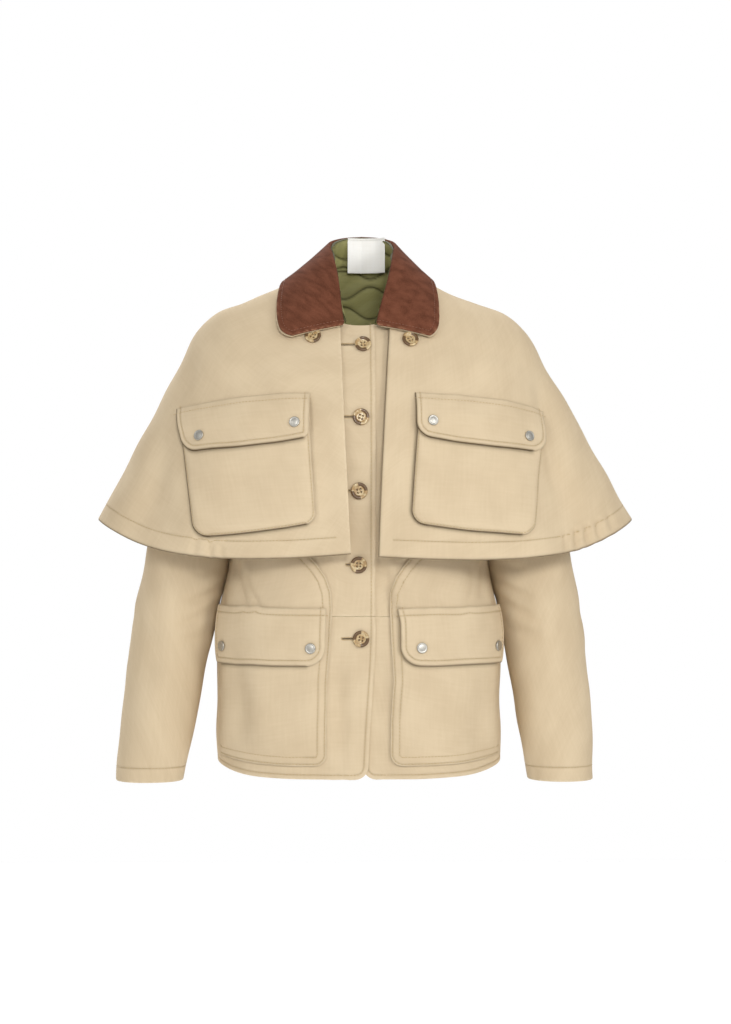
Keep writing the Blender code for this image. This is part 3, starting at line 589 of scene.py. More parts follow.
def drift(x: Grid, z: Grid) -> Grid:
    """Slow unevenness of cloth that hangs: crossed waves whose lengths have no common measure.

    Args:
        x: How far across each point is.
        z: How high each point is.

    Returns:
        A height for each point.
    """
    circle = 2 * math.pi
    return sum(
        wave.height * np.sin(circle * (x / wave.across + z / wave.down) + wave.turn) for wave in DRIFT_WAVES
    )


@dataclass
class Wrap:
    """Cloth wrapped round the wearer, through rings joined by a smooth curve.

    Angle 0 is centre front and a quarter turn is the wearer's left. Level 0 is the first ring and 1 the last.
    """

    rings: tuple[Ring, ...]
    folds: tuple[Fold, ...] = ()
    front_creases: tuple[Crease, ...] = ()
    back_creases: tuple[Crease, ...] = ()
    sway: float = 0.0
    step: float = 1e-4

    def level(self, ring: float) -> float:
        """The level of a ring, given its place in the table."""
        return ring / (len(self.rings) - 1)

    def ring(self, level: Any) -> Ring:
        """The ring at a level."""
        return Ring(*np.moveaxis(spline(self.rings, level), -1, 0))

    def plain(self, angle: Any, level: Any) -> Grid:
        """The surface without its relief: superellipses whose height runs from front or back to the sides.

        Args:
            angle: Angles round the wearer.
            level: Levels down the cloth.

        Returns:
            A point for each angle and level.
        """
        ring = self.ring(level)
        sine, cosine = np.sin(angle), np.cos(angle)
        power = 2 / ring.square
        x = ring.side_x * np.sign(sine) * np.abs(sine) ** power + self.sway * np.asarray(level) ** SWAY_POWER
        y = np.where(cosine > 0, ring.front_y, ring.back_y) * np.abs(cosine) ** power
        end_z = np.where(cosine > 0, ring.front_z, ring.back_z)
        z = end_z + (ring.side_z - end_z) * np.abs(sine) ** ring.rise
        return np.stack(np.broadcast_arrays(x, y, z), axis=-1)

    def normal_of(self, surface: Callable[[Grid, Grid], Grid], angle: Any, level: Any) -> Grid:
        """Outward normals, from differences along both parameters.

        Args:
            surface: The function that places points.
            angle: Angles round the wearer.
            level: Levels down the cloth.

        Returns:
            A normal of length 1 for each point.
        """
        angle, level = np.broadcast_arrays(np.asarray(angle, float), np.asarray(level, float))
        low, high = np.clip(level - self.step, 0, 1), np.clip(level + self.step, 0, 1)
        round_it = surface(angle + self.step, level) - surface(angle - self.step, level)
        return unit(np.cross(surface(angle, high) - surface(angle, low), round_it))

    def relief(self, angle: Grid, level: Grid, plain: Grid) -> Grid:
        """Height of folds and creases: a fold is a bell across the angle that grows from the yoke to the hem.

        Args:
            angle: Angles round the wearer.
            level: Levels down the cloth.
            plain: The points without relief.

        Returns:
            The height at each point.
        """
        turned = np.mod(np.asarray(angle, float) + math.pi, 2 * math.pi) - math.pi
        x, z = plain[..., 0], plain[..., 2]
        front = smooth(-FRONT_BLEND, FRONT_BLEND, np.cos(angle))
        height = front * crease_height(self.front_creases, x, z) + drift(x, z) * smooth(0, DRIFT_BELOW, level)
        height = height + (1 - front) * crease_height(self.back_creases, x, z)
        for fold in self.folds:
            centre = np.radians(fold.top_angle + (fold.hem_angle - fold.top_angle) * level)
            across = (turned - centre) / math.radians(fold.half_width)
            height = height + fold.height * bell(across) * smooth(FOLD_START, 1, level)
        return height

    def point(self, angle: Any, level: Any) -> Grid:
        """Points on the cloth, with its folds and creases."""
        plain = self.plain(angle, level)
        return plain + self.normal_of(self.plain, angle, level) * self.relief(angle, level, plain)[..., None]

    def place(self, angle: Any, level: Any, out: Any = 0.0) -> Grid:
        """Points moved out from the cloth."""
        out = np.asarray(out, float)[..., None]
        return self.point(angle, level) + self.normal_of(self.point, angle, level) * out

    def angle_at(self, x: Any, level: Any) -> Grid:
        """The angle on the front where the surface is x from its own middle line.

        Args:
            x: Distance from the middle line, with its sign.
            level: Level on the surface.

        Returns:
            The angle, with the sign of x.
        """
        ring = self.ring(level)
        share = np.clip(np.abs(x) / ring.side_x, 0, 1)
        return np.sign(x) * np.arcsin(share ** (ring.square / 2))

    def level_where(self, z: Any, angle_of: AngleOf) -> Grid:
        """The level at a height, found by halving, where the angle follows from the level.

        Args:
            z: The heights.
            angle_of: The angle at a level.

        Returns:
            A level for each height.
        """
        low, high = np.zeros_like(np.asarray(z, float)), np.ones_like(np.asarray(z, float))
        for _ in range(HALVINGS):
            middle = (low + high) / 2
            above = self.plain(angle_of(middle), middle)[..., 2] > z
            low, high = np.where(above, middle, low), np.where(above, high, middle)
        return (low + high) / 2

    def level_at(self, angle: Any, z: Any) -> Grid:
        """The level at height z on one angle."""
        return self.level_where(z, lambda level: angle)

    def front_spot(self, x: Any, z: Any) -> tuple[Grid, Grid]:
        """Angle and level of the point that the front view shows at x and z."""
        level = self.level_where(z, lambda at: self.angle_at(x, at))
        return self.angle_at(x, level), level

    def lay_out(
        self, start: AngleOf, end: AngleOf, top: float, bottom: float, rows: Grid, columns: Grid
    ) -> tuple[Grid, Grid]:
        """Angles and levels over a panel, with rows and columns at true distances from its edges.

        Lengths are measured down and then across a fine lattice on the cloth, and read back the other way.

        Args:
            start: Angle of the panel's first edge at a level.
            end: Angle of its last edge at a level.
            top: Level of its top edge.
            bottom: Level of its bottom edge.
            rows: Stations down the panel.
            columns: Stations across it.

        Returns:
            The angles and the levels, a row for each station down.
        """
        share = np.linspace(0, 1, LATTICE)
        levels = np.linspace(top, bottom, LATTICE)
        angle = start(levels) + (end(levels) - start(levels)) * share[:, None]
        run = run_along(self.point(angle, np.broadcast_to(levels, angle.shape)))
        level = row_interp(fit_stations(rows, run[:, -1]), run, levels[None]).T
        angle = start(level) + (end(level) - start(level)) * share
        run = run_along(self.point(angle, level))
        across = row_interp(fit_stations(columns, run[:, -1]), run, share[None])
        level = row_interp(across, np.broadcast_to(share, level.shape), level)
        return start(level) + (end(level) - start(level)) * across, level


BODY = Wrap(BODY_RINGS, (), BODY_FRONT_CREASES, BODY_BACK_CREASES)
CAPE = Wrap(CAPE_RINGS, CAPE_FOLDS, CAPE_FRONT_CREASES, CAPE_BACK_CREASES, CAPE_SWAY)


def face_out(points: Grid, sign: int) -> Grid:
    """Turns a grid's columns round when it was placed on the wearer's right, so that it still faces out."""
    return points if sign > 0 else points[:, ::-1]


def linear(colour: str) -> tuple[float, float, float, float]:
    """The linear value of an sRGB colour written as six hex digits.

    Args:
        colour: Six hex digits.

    Returns:
        Red, green, blue and alpha.
    """
    value = np.array([int(colour[at : at + 2], 16) for at in (0, 2, 4)]) / 255
    value = np.where(value <= 0.04045, value / 12.92, ((value + 0.055) / 1.055) ** 2.4)
    return (*(float(part) for part in value), 1.0)


# Numbers of a mix node's sockets for colours, and the band of a wave texture in metres at a scale of 1
SHARE, FIRST, SECOND, MIXED = 0, 6, 7, 2
WAVE_BAND = math.pi / 10

Socket = bpy.types.NodeSocket
AddNode = Callable[..., Socket]


def per_mm(size: float) -> float:
    """The scale at which the grains of noise are about a size in millimetres."""
    return 1 / (size * MM)


def feed(tree: bpy.types.NodeTree, node: bpy.types.Node, inputs: dict) -> None:
    """Sets a node's inputs, by name or number, to values or hex colours, or links them to sockets.

    Args:
        tree: The tree that holds the node.
        node: The node.
        inputs: Values, colours or sockets, by input.
    """
    for name, value in inputs.items():
        if isinstance(value, Socket):
            tree.links.new(value, node.inputs[name])
        else:
            node.inputs[name].default_value = linear(value) if isinstance(value, str) else value


def add_node(tree: bpy.types.NodeTree, kind: str, inputs: dict, output: Any = 0, **settings: Any) -> Socket:
    """Adds a node with its settings and links.

    Args:
        tree: The node tree.
        kind: The node's type, without the word that all of them start with.
        inputs: What each input takes, by name or number.
        output: The output that is wanted, by name or number.
        settings: The node's own settings.

    Returns:
        The output.
    """
    node = tree.nodes.new("ShaderNode" + kind)
    for name, value in settings.items():
        setattr(node, name, value)
    feed(tree, node, inputs)
    return node.outputs[output]


@dataclass(frozen=True)
class Finish:
    """A surface finish: the record's slot that it belongs to, and its shader's even values."""

    name: str
    slot: str
    roughness: float
    ior: float = 1.5
    metallic: float = 0.0
    specular: float = 0.5
    coat: float = 0.0

    def material(self) -> bpy.types.Material:
        """The finish as a material, made the first time that it is asked for.

        Returns:
            The material.
        """
        known = bpy.data.materials.get(self.name)
        if known is not None:
            return known
        material = bpy.data.materials.new(self.name)
        material.use_nodes = True
        tree = material.node_tree
        shader = tree.nodes["Principled BSDF"]
        even = {
            "Roughness": self.roughness,
            "IOR": self.ior,
            "Metallic": self.metallic,
            "Specular IOR Level": self.specular,
            "Coat Weight": self.coat,
        }
        feed(tree, shader, even)
        feed(tree, shader, self.paint(partial(add_node, tree)))
        return material

    def paint(self, node: AddNode) -> dict[str, Any]:
        """Adds the finish's own nodes.

        Args:
            node: Adds a node to the material.

        Returns:
            What the shader takes from the nodes, by input.
        """
        raise NotImplementedError


@dataclass(frozen=True)
class SoftFinish(Finish):
    """Cloth or hide: two shades that blend, and paler worn edges."""

    light: str = "ffffff"
    dark: str = "808080"
    worn: str = "ffffff"
    tone: Span = Span(0.5, 1.1)
    wear: float = 0.5
    wear_mm: float = 14.0
    wear_detail: float = 2.0
    wear_tone: Span = Span(0.3, 0.75)

    def shade(self, node: AddNode, uv: Socket, tone: Socket) -> Socket:
        """Mixes the two shades by a tone, and lightens the worn edges in patches.

        Args:
            node: Adds a node to the material.
            uv: The cloth's own map.
            tone: The tone, before it is stretched.

        Returns:
            The colour.
        """
        tone = node("MapRange", self.tone.of(tone), interpolation_type="SMOOTHSTEP")
        colour = node("Mix", {SHARE: tone, FIRST: self.dark, SECOND: self.light}, MIXED, data_type="RGBA")
        edge = node("Attribute", {}, "Fac", attribute_name="wear")
        patchy = node("TexNoise", {"Vector": uv, "Scale": per_mm(self.wear_mm), "Detail": self.wear_detail})
        patchy = node("MapRange", self.wear_tone.of(patchy), interpolation_type="SMOOTHSTEP")
        worn = node("Math", {0: edge, 1: patchy}, operation="MULTIPLY")
        worn = node("Math", {0: worn, 1: self.wear}, operation="MULTIPLY")
        return node("Mix", {SHARE: worn, FIRST: colour, SECOND: self.worn}, MIXED, data_type="RGBA")


@dataclass(frozen=True)
class WovenCloth(SoftFinish):
    """Plain woven cloth: crossed threads, slubs, slow blotches, paler worn edges, and painted shade in seams
    and along shaded edges.
    """

    # The colour that is painted where shade falls
    painted_shade_colour: str = "404040"
    thread_mm: float = 1.3
    waver: float = 0.4
    slub_mm: float = 3.2
    slub_thin: float = 0.08
    slub_share: float = 0.3
    blotch_mm: float = 60.0
    weave_mm: float = 0.06

    def paint(self, node: AddNode) -> dict[str, Any]:
        """Shades the cloth by slubs and blotches, paints shade where the mesh marks it, and weaves its
        surface.

        Args:
            node: Adds a node to the material.

        Returns:
            What the shader takes from the nodes, by input.
        """
        uv = node("TexCoord", {}, "UV")
        bands = {"Vector": uv, "Scale": WAVE_BAND / (self.thread_mm * MM), "Distortion": self.waver}
        weave = [node("TexWave", bands, "Fac", bands_direction=way) for way in "XY"]
        threads = node("Math", dict(enumerate(weave)), operation="MULTIPLY")
        slubs = []
        for scale in ((1.0, self.slub_thin, 1.0), (self.slub_thin, 1.0, 1.0)):
            along = node("Mapping", {"Vector": uv, "Scale": scale})
            slubs.append(node("TexNoise", {"Vector": along, "Scale": per_mm(self.slub_mm), "Detail": 3.0}))
        slub = node("Math", dict(enumerate(slubs)), operation="ADD")
        blotch = node("TexNoise", {"Vector": uv, "Scale": per_mm(self.blotch_mm), "Detail": 3.0})
        tone = node("Math", {0: slub, 1: self.slub_share, 2: blotch}, operation="MULTIPLY_ADD")
        # Painted shade: a dark colour mixed in along seams and shaded edges
        painted_shade = node("Attribute", {}, "Fac", attribute_name="painted_shade")
        painted_shade_colour = {SHARE: painted_shade, FIRST: self.shade(node, uv, tone), SECOND: self.painted_shade_colour}
        height = node("Math", {0: slub, 1: self.slub_share, 2: threads}, operation="MULTIPLY_ADD")
        return {
            "Base Color": node("Mix", painted_shade_colour, MIXED, data_type="RGBA"),
            "Normal": node("Bump", {"Height": height, "Distance": self.weave_mm * MM, "Strength": 1.0}),
        }


@dataclass(frozen=True)
class NappedHide(SoftFinish):
    """Suede: a brushed nap that lies lighter and darker in strokes, fine grain, and rubbed edges."""

    tone: Span = Span(0.32, 1.18)
    wear: float = 1.0
    wear_mm: float = 9.0
    wear_detail: float = 3.0
    wear_tone: Span = Span(0.4, 0.7)
    stroke_mm: float = 11.0
    stroke_turn: float = 0.5
    stroke_thin: float = 0.75
    stroke_bend: float = 0.3
    grain_mm: float = 1.6
    grain_share: float = 0.5
    nap_mm: float = 0.25

    def paint(self, node: AddNode) -> dict[str, Any]:
        """Shades the hide by strokes of its nap and by grain, which also raises it.

        Args:
            node: Adds a node to the material.

        Returns:
            What the shader takes from the nodes, by input.
        """
        uv = node("TexCoord", {}, "UV")
        turn = {"Vector": uv, "Rotation": (0, 0, self.stroke_turn), "Scale": (1, self.stroke_thin, 1)}
        strokes = {"Scale": per_mm(self.stroke_mm), "Detail": 5.0, "Distortion": self.stroke_bend}
        stroke = node("TexNoise", {"Vector": node("Mapping", turn), **strokes})
        grain = node("TexNoise", {"Vector": uv, "Scale": per_mm(self.grain_mm), "Detail": 2.0})
        tone = node("Math", {0: grain, 1: self.grain_share, 2: stroke}, operation="MULTIPLY_ADD")
        return {
            "Base Color": self.shade(node, uv, tone),
            "Normal": node("Bump", {"Height": grain, "Distance": self.nap_mm * MM, "Strength": 1.0}),
        }


@dataclass(frozen=True)
class PolishedHorn(Finish):
    """Horn: pale and brown layers that swirl through each button, with dark ends where its core shows, and
    painted shade in its holes.
    """

    pale: str = "ffffff"
    mid: str = "808080"
    dark: str = "000000"
    swirl_mm: float = 9.0
    swirl_bend: float = 1.2
    swirl_share: float = 0.6
    layer_mm: float = 4.5
    layer_bend: float = 0.8
    layer_tone: Span = Span(0.35, 0.65)
    core_and_hole_shade_tone: Span = Span(0.6, 0.95)

    def paint(self, node: AddNode) -> dict[str, Any]:
        """Mixes pale and middle horn by layers, and dark horn at the button's streaks and, as painted shade,
        in its holes.

        Args:
            node: Adds a node to the material.

        Returns:
            What the shader takes from the nodes, by input.
        """
        place = node("TexCoord", {}, "Object")
        layers = {"Scale": per_mm(self.layer_mm), "Detail": 1.0, "Distortion": self.layer_bend}
        layer = node("TexNoise", {"Vector": place, **layers})
        layer = node("MapRange", self.layer_tone.of(layer), interpolation_type="SMOOTHSTEP")
        body = node("Mix", {SHARE: layer, FIRST: self.mid, SECOND: self.pale}, MIXED, data_type="RGBA")
        swirls = {"Scale": per_mm(self.swirl_mm), "Detail": 2.0, "Distortion": self.swirl_bend}
        swirl = node("TexNoise", {"Vector": place, **swirls})
        # Dark streaks of horn, and painted shade in the holes
        streak_and_hole_shade = node("Attribute", {}, "Fac", attribute_name="streak_and_hole_shade")
        core_and_hole_shade = node("Math", {0: swirl, 1: self.swirl_share, 2: streak_and_hole_shade}, operation="MULTIPLY_ADD")
        core_and_hole_shade = node("MapRange", self.core_and_hole_shade_tone.of(core_and_hole_shade), interpolation_type="SMOOTHSTEP")
        horn = {SHARE: core_and_hole_shade, FIRST: body, SECOND: self.dark}
        return {"Base Color": node("Mix", horn, MIXED, data_type="RGBA")}


@dataclass(frozen=True)
class PlatedMetal(Finish):
    """Nickel plate: a satin skin with faint tumbling marks."""

    colour: str = "ffffff"
    mark_mm: float = 1.2
    smoothest: float = 0.8
    roughest: float = 1.3

    def paint(self, node: AddNode) -> dict[str, Any]:
        """Colours the plate evenly and roughens it by its marks.

        Args:
            node: Adds a node to the material.

        Returns:
            What the shader takes from the nodes, by input.
        """
        place = node("TexCoord", {}, "Object")
        marks = node("TexNoise", {"Vector": place, "Scale": per_mm(self.mark_mm), "Detail": 3.0})
        ends = {"To Min": self.roughness * self.smoothest, "To Max": self.roughness * self.roughest}
        return {"Base Color": self.colour, "Roughness": node("MapRange", {"Value": marks, **ends})}


@dataclass(frozen=True)
class SewingThread(Finish):
    """Twisted thread: fine light and dark turns of the ply."""

    light: str = "ffffff"
    dark: str = "808080"
    ply_mm: float = 1.0

    def paint(self, node: AddNode) -> dict[str, Any]:
        """Mixes two shades by noise as fine as the ply.

        Args:
            node: Adds a node to the material.

        Returns:
            What the shader takes from the nodes, by input.
        """
        place = node("TexCoord", {}, "Object")
        ply = node("TexNoise", {"Vector": place, "Scale": per_mm(self.ply_mm), "Detail": 1.0})
        shades = {SHARE: ply, FIRST: self.dark, SECOND: self.light}
        return {"Base Color": node("Mix", shades, MIXED, data_type="RGBA")}


# Cotton canvas: matt and close woven, so the eye sees an even tan with faint slubs and paler folded edges. Its
# darkest brown is painted shade along seams and pocket, flap and hem edges.
# Its threads are drawn about twice as coarse as real ones, so that they show.
COTTON_CANVAS = WovenCloth(
    "tan_cotton_canvas", "cotton_canvas", 0.86, specular=0.25,
    light="cfbc9d", dark="c5b192", worn="dac9ab", painted_shade_colour="43300f",
)
# Suede: brushed hide, so the nap gives soft lighter strokes and a velvety edge
BROWN_SUEDE = NappedHide(
    "napped_brown_suede", "brown_suede", 0.95, specular=0.1, light="784936", dark="502d1e", worn="92684f"
)
# Quilted lining: smooth olive cloth over wadding, with painted shade along the lines of stitching between the
# puffs and along its edges
OLIVE_QUILTING = WovenCloth(
    "olive_quilted_lining", "olive_quilting", 0.6, specular=0.15,
    light="aaa673", dark="98945f", worn="b2ae7c", painted_shade_colour="34321a", thread_mm=1.0, blotch_mm=40.0, wear=0.3,
)
# Horn: turned and rubbed to a low polish, with brown swirls and darker ends, and its holes painted dark as
# shade
HORN = PolishedHorn("polished_horn", "horn", 0.42, 1.54, coat=0.1, pale="c9b48a", mid="a58557", dark="5f4424")
# Nickel plate: tumbled brass caps with a dull satin shine
NICKEL = PlatedMetal("satin_nickel", "nickel", 0.4, metallic=1.0, colour="b4b1a9")
# Woven tape: dense white ribs across the label
WHITE_TAPE = WovenCloth(
    "white_woven_tape", "woven_label", 0.7, light="fdfcf8", dark="f5f2eb", worn="ffffff", thread_mm=1.0
)
# Topstitching thread, a shade deeper than the canvas, dark thread sunk in the buttonholes' slits that stands
# in for their shadow, the suede's own brown thread and the label's white one
TAN_THREAD = SewingThread("tan_thread", "cotton_canvas", 0.6, light="c4ad85", dark="a98f64")
SLIT_SHADE_THREAD = SewingThread("slit_shade_thread", "cotton_canvas", 0.6, light="4c3a25", dark="33271a")
BROWN_THREAD = SewingThread("brown_thread", "brown_suede", 0.6, light="8a5840", dark="6a3f2b")
WHITE_THREAD = SewingThread("white_thread", "woven_label", 0.6, light="f2efe8", dark="dcd8cd")


class Side(Enum):
    """The edges of a panel's grid, named in the order that its outline runs."""

    START = "start"
    BOTTOM = "bottom"
    END = "end"
    TOP = "top"


# A patch is sewn down along its sides and bottom, and shadow is painted darkest on the wearer's right of it
# and below, the sides away from the lamps
SEWN_SIDES = (Side.START, Side.BOTTOM, Side.END)
DARK_SIDES = (Side.START, Side.BOTTOM)
# Columns run to the wearer's left, so the edge by centre front is the first there and the last on the right
FRONT_SIDE = {1: (Side.START,), -1: (Side.END,)}
FRONT_AND_BOTTOM = {1: (Side.START, Side.BOTTOM), -1: (Side.BOTTOM, Side.END)}


class Half(Enum):
    """The pieces of a front, above and below the waist seam."""

    UPPER = "upper"
    LOWER = "lower"


class Held(Enum):
    """How a sheet of cloth is held."""

    DRAPED = "draped"
    HUNG = "hung"
    LAID = "laid"
    FOLDED = "folded"


def new_piece(name: str, points: Grid, faces: list[Grid], finish: Finish) -> bpy.types.Object:
    """A smooth-shaded piece that rides with the jacket.

    Args:
        name: The piece's name.
        points: Its vertices in millimetres.
        faces: Arrays of faces, each with one number of corners.
        finish: Its finish.

    Returns:
        The object, at the origin with its place in its mesh.
    """
    corners = np.concatenate([part.ravel() for part in faces])
    sizes = np.concatenate([np.full(len(part), part.shape[1]) for part in faces])
    mesh = bpy.data.meshes.new(name)
    mesh.vertices.add(len(points))
    mesh.vertices.foreach_set("co", (points * MM).astype(np.float32).ravel())
    mesh.loops.add(len(corners))
    mesh.loops.foreach_set("vertex_index", corners.astype(np.int32))
    mesh.polygons.add(len(sizes))
    mesh.polygons.foreach_set("loop_start", (np.cumsum(sizes) - sizes).astype(np.int32))
    mesh.update(calc_edges=True)
    mesh.shade_smooth()
    mesh.set_sharp_from_angle(angle=math.radians(SHARP_ANGLE))
    mesh.materials.append(finish.material())
    piece = bpy.data.objects.new(name, mesh)
    bpy.context.scene.collection.objects.link(piece)
    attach(piece, WEARER)
    LOG.info("%s: %d triangles", name, int(np.sum(sizes - 2)))
    return piece


def grid_faces(index: Grid, closed: bool) -> Grid:
    """Four-cornered faces over a grid of vertex numbers, whose rows run down, closed into a tube or not.

    Args:
        index: Vertex numbers by row and column.
        closed: Whether the last column joins the first.

    Returns:
        Four vertex numbers to a face.
    """
    if closed:
        index = np.concatenate([index, index[:, :1]], axis=1)
    corners = (index[:-1, :-1], index[1:, :-1], index[1:, 1:], index[:-1, 1:])
    return np.stack(corners, axis=-1).reshape(-1, 4)


def rim_faces(outer: Grid, inner: Grid, kept: Grid) -> list[Grid]:
    """Faces between an outline and a sparser one inside the cloth.

    Args:
        outer: Vertex numbers round the outer face.
        inner: Vertex numbers round the inner face, one for each kept place.
        kept: The places of the outline that the inner face keeps.

    Returns:
        Arrays of faces, one for each number of corners.
    """
    first, last = kept[:-1], kept[1:]
    faces = []
    for width in np.unique(last - first):
        pick = np.flatnonzero(last - first == width)
        outside = outer[last[pick, None] - np.arange(width + 1)]
        faces.append(np.concatenate([outside, inner[pick, None], inner[pick + 1, None]], axis=1))
    return faces


@dataclass
class Panel:
    """A cut piece of cloth, on a grid over its outer face whose rows run down and columns round by the left.

    The base has the solid's form and the relief is what sewing does to it. The wall goes inwards from it.
    """

    name: str
    base: Grid
    wall: float
    closed: bool = False
    relief: Grid = field(init=False)
    # Shade painted on the cloth, from 0 to 1
    painted_shade: Grid = field(init=False)
    seams: list[Grid] = field(init=False, default_factory=list)

    def __post_init__(self) -> None:
        """Starts with a plain outer face, with no relief and no painted shade."""
        self.relief = np.zeros(self.base.shape[:2])
        self.painted_shade = np.zeros(self.base.shape[:2])

    def normals(self) -> Grid:
        """Outward normals of the grid, from its slopes down and along.

        Returns:
            A unit normal at each point.
        """
        points = self.base
        if self.closed:
            points = np.concatenate([points[:, -1:], points, points[:, :1]], axis=1)
        normal = unit(np.cross(np.gradient(points, axis=0), np.gradient(points, axis=1)))
        return normal[:, 1:-1] if self.closed else normal

    def edge(self, values: Grid, *sides: Side) -> Grid:
        """Reads a grid along some edges.

        Args:
            values: The grid.
            sides: The edges, in the order that the outline runs.

        Returns:
            The values along them, end to end.
        """
        if self.closed:
            values = np.concatenate([values, values[:, :1]], axis=1)
        runs = {
            Side.START: values[:, 0],
            Side.BOTTOM: values[-1],
            Side.END: values[::-1, -1],
            Side.TOP: values[0, ::-1],
        }
        return np.concatenate([runs[side] for side in sides])

    def press(self, line: Grid, depth: float, width: float, painted_shade: float = 0.0) -> None:
        """Presses a soft groove along a line, such as the edge of a patch, and paints shade along it, from 0
        to 1.

        Args:
            line: Points along the groove.
            depth: Depth at its middle.
            width: Distance over which it fades to either side.
            painted_shade: How dark the shade painted at its middle is.
        """
        near = bell(distance(self.base, line) / width)
        self.relief -= depth * near
        self.painted_shade = np.maximum(self.painted_shade, painted_shade * near)

    def paint_edge_shade(self, share: float, *sides: Side) -> None:
        """Paints shade on the cloth along some edges, as the shadow that falls beside a seam."""
        self.press(self.edge(self.base, *sides), 0.0, SHADE_WIDTH, share)

    def inset(self, by: float, *sides: Side) -> Grid:
        """A line beside some edges: each edge point moved in by a distance, square to the edge.

        Args:
            by: The distance.
            sides: The edges, in the order that the outline runs.

        Returns:
            The line, without the points that come nearer to another edge at a corner.
        """
        both = np.concatenate([self.base, self.normals()], axis=-1)
        line = resample(self.edge(both, *sides), PATH_STEP)
        points, normal = line[:, :3], line[:, 3:]
        moved = points + unit(np.cross(normal, np.gradient(points, axis=0))) * by
        return moved[nearest(moved, points)[1] > CLEAR_OF_EDGE * by]

    def sew(self, line: Grid, depth: float = TROUGH_DEPTH) -> None:
        """Sinks a trough along a line, paints faint shade in it, and keeps the line for its stitches."""
        self.press(line, depth, TROUGH_WIDTH, SEAM_SHADE)
        self.seams.append(line)

    def roll_edges(self, *sides: Side) -> Grid:
        """Turns the cloth in along its edges, and returns how worn each point is.

        Args:
            *sides: The edges that turn in.

        Returns:
            How worn each point is.
        """
        away = distance(self.base, self.edge(self.base, *(sides or tuple(Side))))
        self.relief -= EDGE_ROLL * bell(away / EDGE_ROLL_WIDTH)
        return bell(away / WEAR_WIDTH)

    def flat(self) -> tuple[float, float, float]:
        """Width, length and area of the cut in metres: the longest row and column, and all its faces.

        Returns:
            Width, length and area.
        """
        base = np.concatenate([self.base, self.base[:, :1]], axis=1) if self.closed else self.base
        width = run_along(base)[:, -1].max()
        length = run_along(base.swapaxes(0, 1))[:, -1].max()
        corner = np.cross(base[1:, 1:] - base[:-1, :-1], base[1:, :-1] - base[:-1, 1:])
        return width * MM, length * MM, np.linalg.norm(corner, axis=-1).sum() / 2 * MM * MM

    def build(
        self, finish: Finish, held: Held, sewing: "Sewing | None" = None, worn: Grid | None = None
    ) -> None:
        """Makes the panel's closed shell and lays its stitches.

        The inner face keeps every second row and column, and a rim closes the two along the outline.

        Args:
            finish: The cloth's finish.
            held: How the cloth is held; not used.
            sewing: The thread that its stitches join.
            worn: How worn each point is, from 0 to 1.
        """
        rows, columns = self.relief.shape
        normal = self.normals()
        outer = self.base + normal * self.relief[..., None]
        keep_rows = np.unique(np.append(np.arange(0, rows, INNER_STEP), rows - 1))
        keep_columns = np.arange(0, columns, INNER_STEP)
        if not self.closed:
            keep_columns = np.unique(np.append(keep_columns, columns - 1))
        kept = np.ix_(keep_rows, keep_columns)
        inner = (self.base - normal * self.wall)[kept]
        index = np.arange(rows * columns).reshape(rows, columns)
        inside = rows * columns + np.arange(len(keep_rows) * len(keep_columns)).reshape(inner.shape[:2])
        faces = [grid_faces(index, self.closed), grid_faces(inside, self.closed)[:, ::-1]]
        for side in (Side.BOTTOM, Side.TOP) if self.closed else Side:
            loop = self.edge(index, side)
            places = np.flatnonzero(np.isin(loop, self.edge(index[kept], side)))
            faces += rim_faces(loop, self.edge(inside, side), places)
        points = np.concatenate([outer.reshape(-1, 3), inner.reshape(-1, 3)])
        piece = new_piece(self.name, points, faces, finish)
        self.add_maps(piece.data, kept, worn)
        width, length, area = self.flat()
        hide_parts(self.name)
        if sewing is not None:
            for line in self.seams:
                sewing.lay(line, outer.reshape(-1, 3), normal.reshape(-1, 3))

    def add_maps(self, mesh: bpy.types.Mesh, kept: tuple[Grid, Grid], worn: Grid | None) -> None:
        """Adds the cloth's own map, in metres along its threads, how worn it is and how much shade is painted
        on it.

        Args:
            mesh: The panel's mesh.
            kept: The rows and columns that its inner face keeps.
            worn: How worn each point is, from 0 to 1.
        """
        across = run_along(self.base)
        down = run_along(self.base.swapaxes(0, 1)).T
        flat = np.stack([across, -down], axis=-1) * MM
        flat = np.concatenate([flat.reshape(-1, 2), flat[kept].reshape(-1, 2)]).astype(np.float32)
        corners = np.empty(len(mesh.loops), np.int32)
        mesh.loops.foreach_get("vertex_index", corners)
        mesh.uv_layers.new(name="cloth").data.foreach_set("uv", flat[corners].ravel())
        worn = np.zeros(self.relief.shape) if worn is None else worn
        for name, grid in (("wear", worn), ("painted_shade", self.painted_shade)):
            values = np.concatenate([grid.ravel(), grid[kept].ravel()]).astype(np.float32)
            mesh.attributes.new(name, "FLOAT", "POINT").data.foreach_set("value", values)


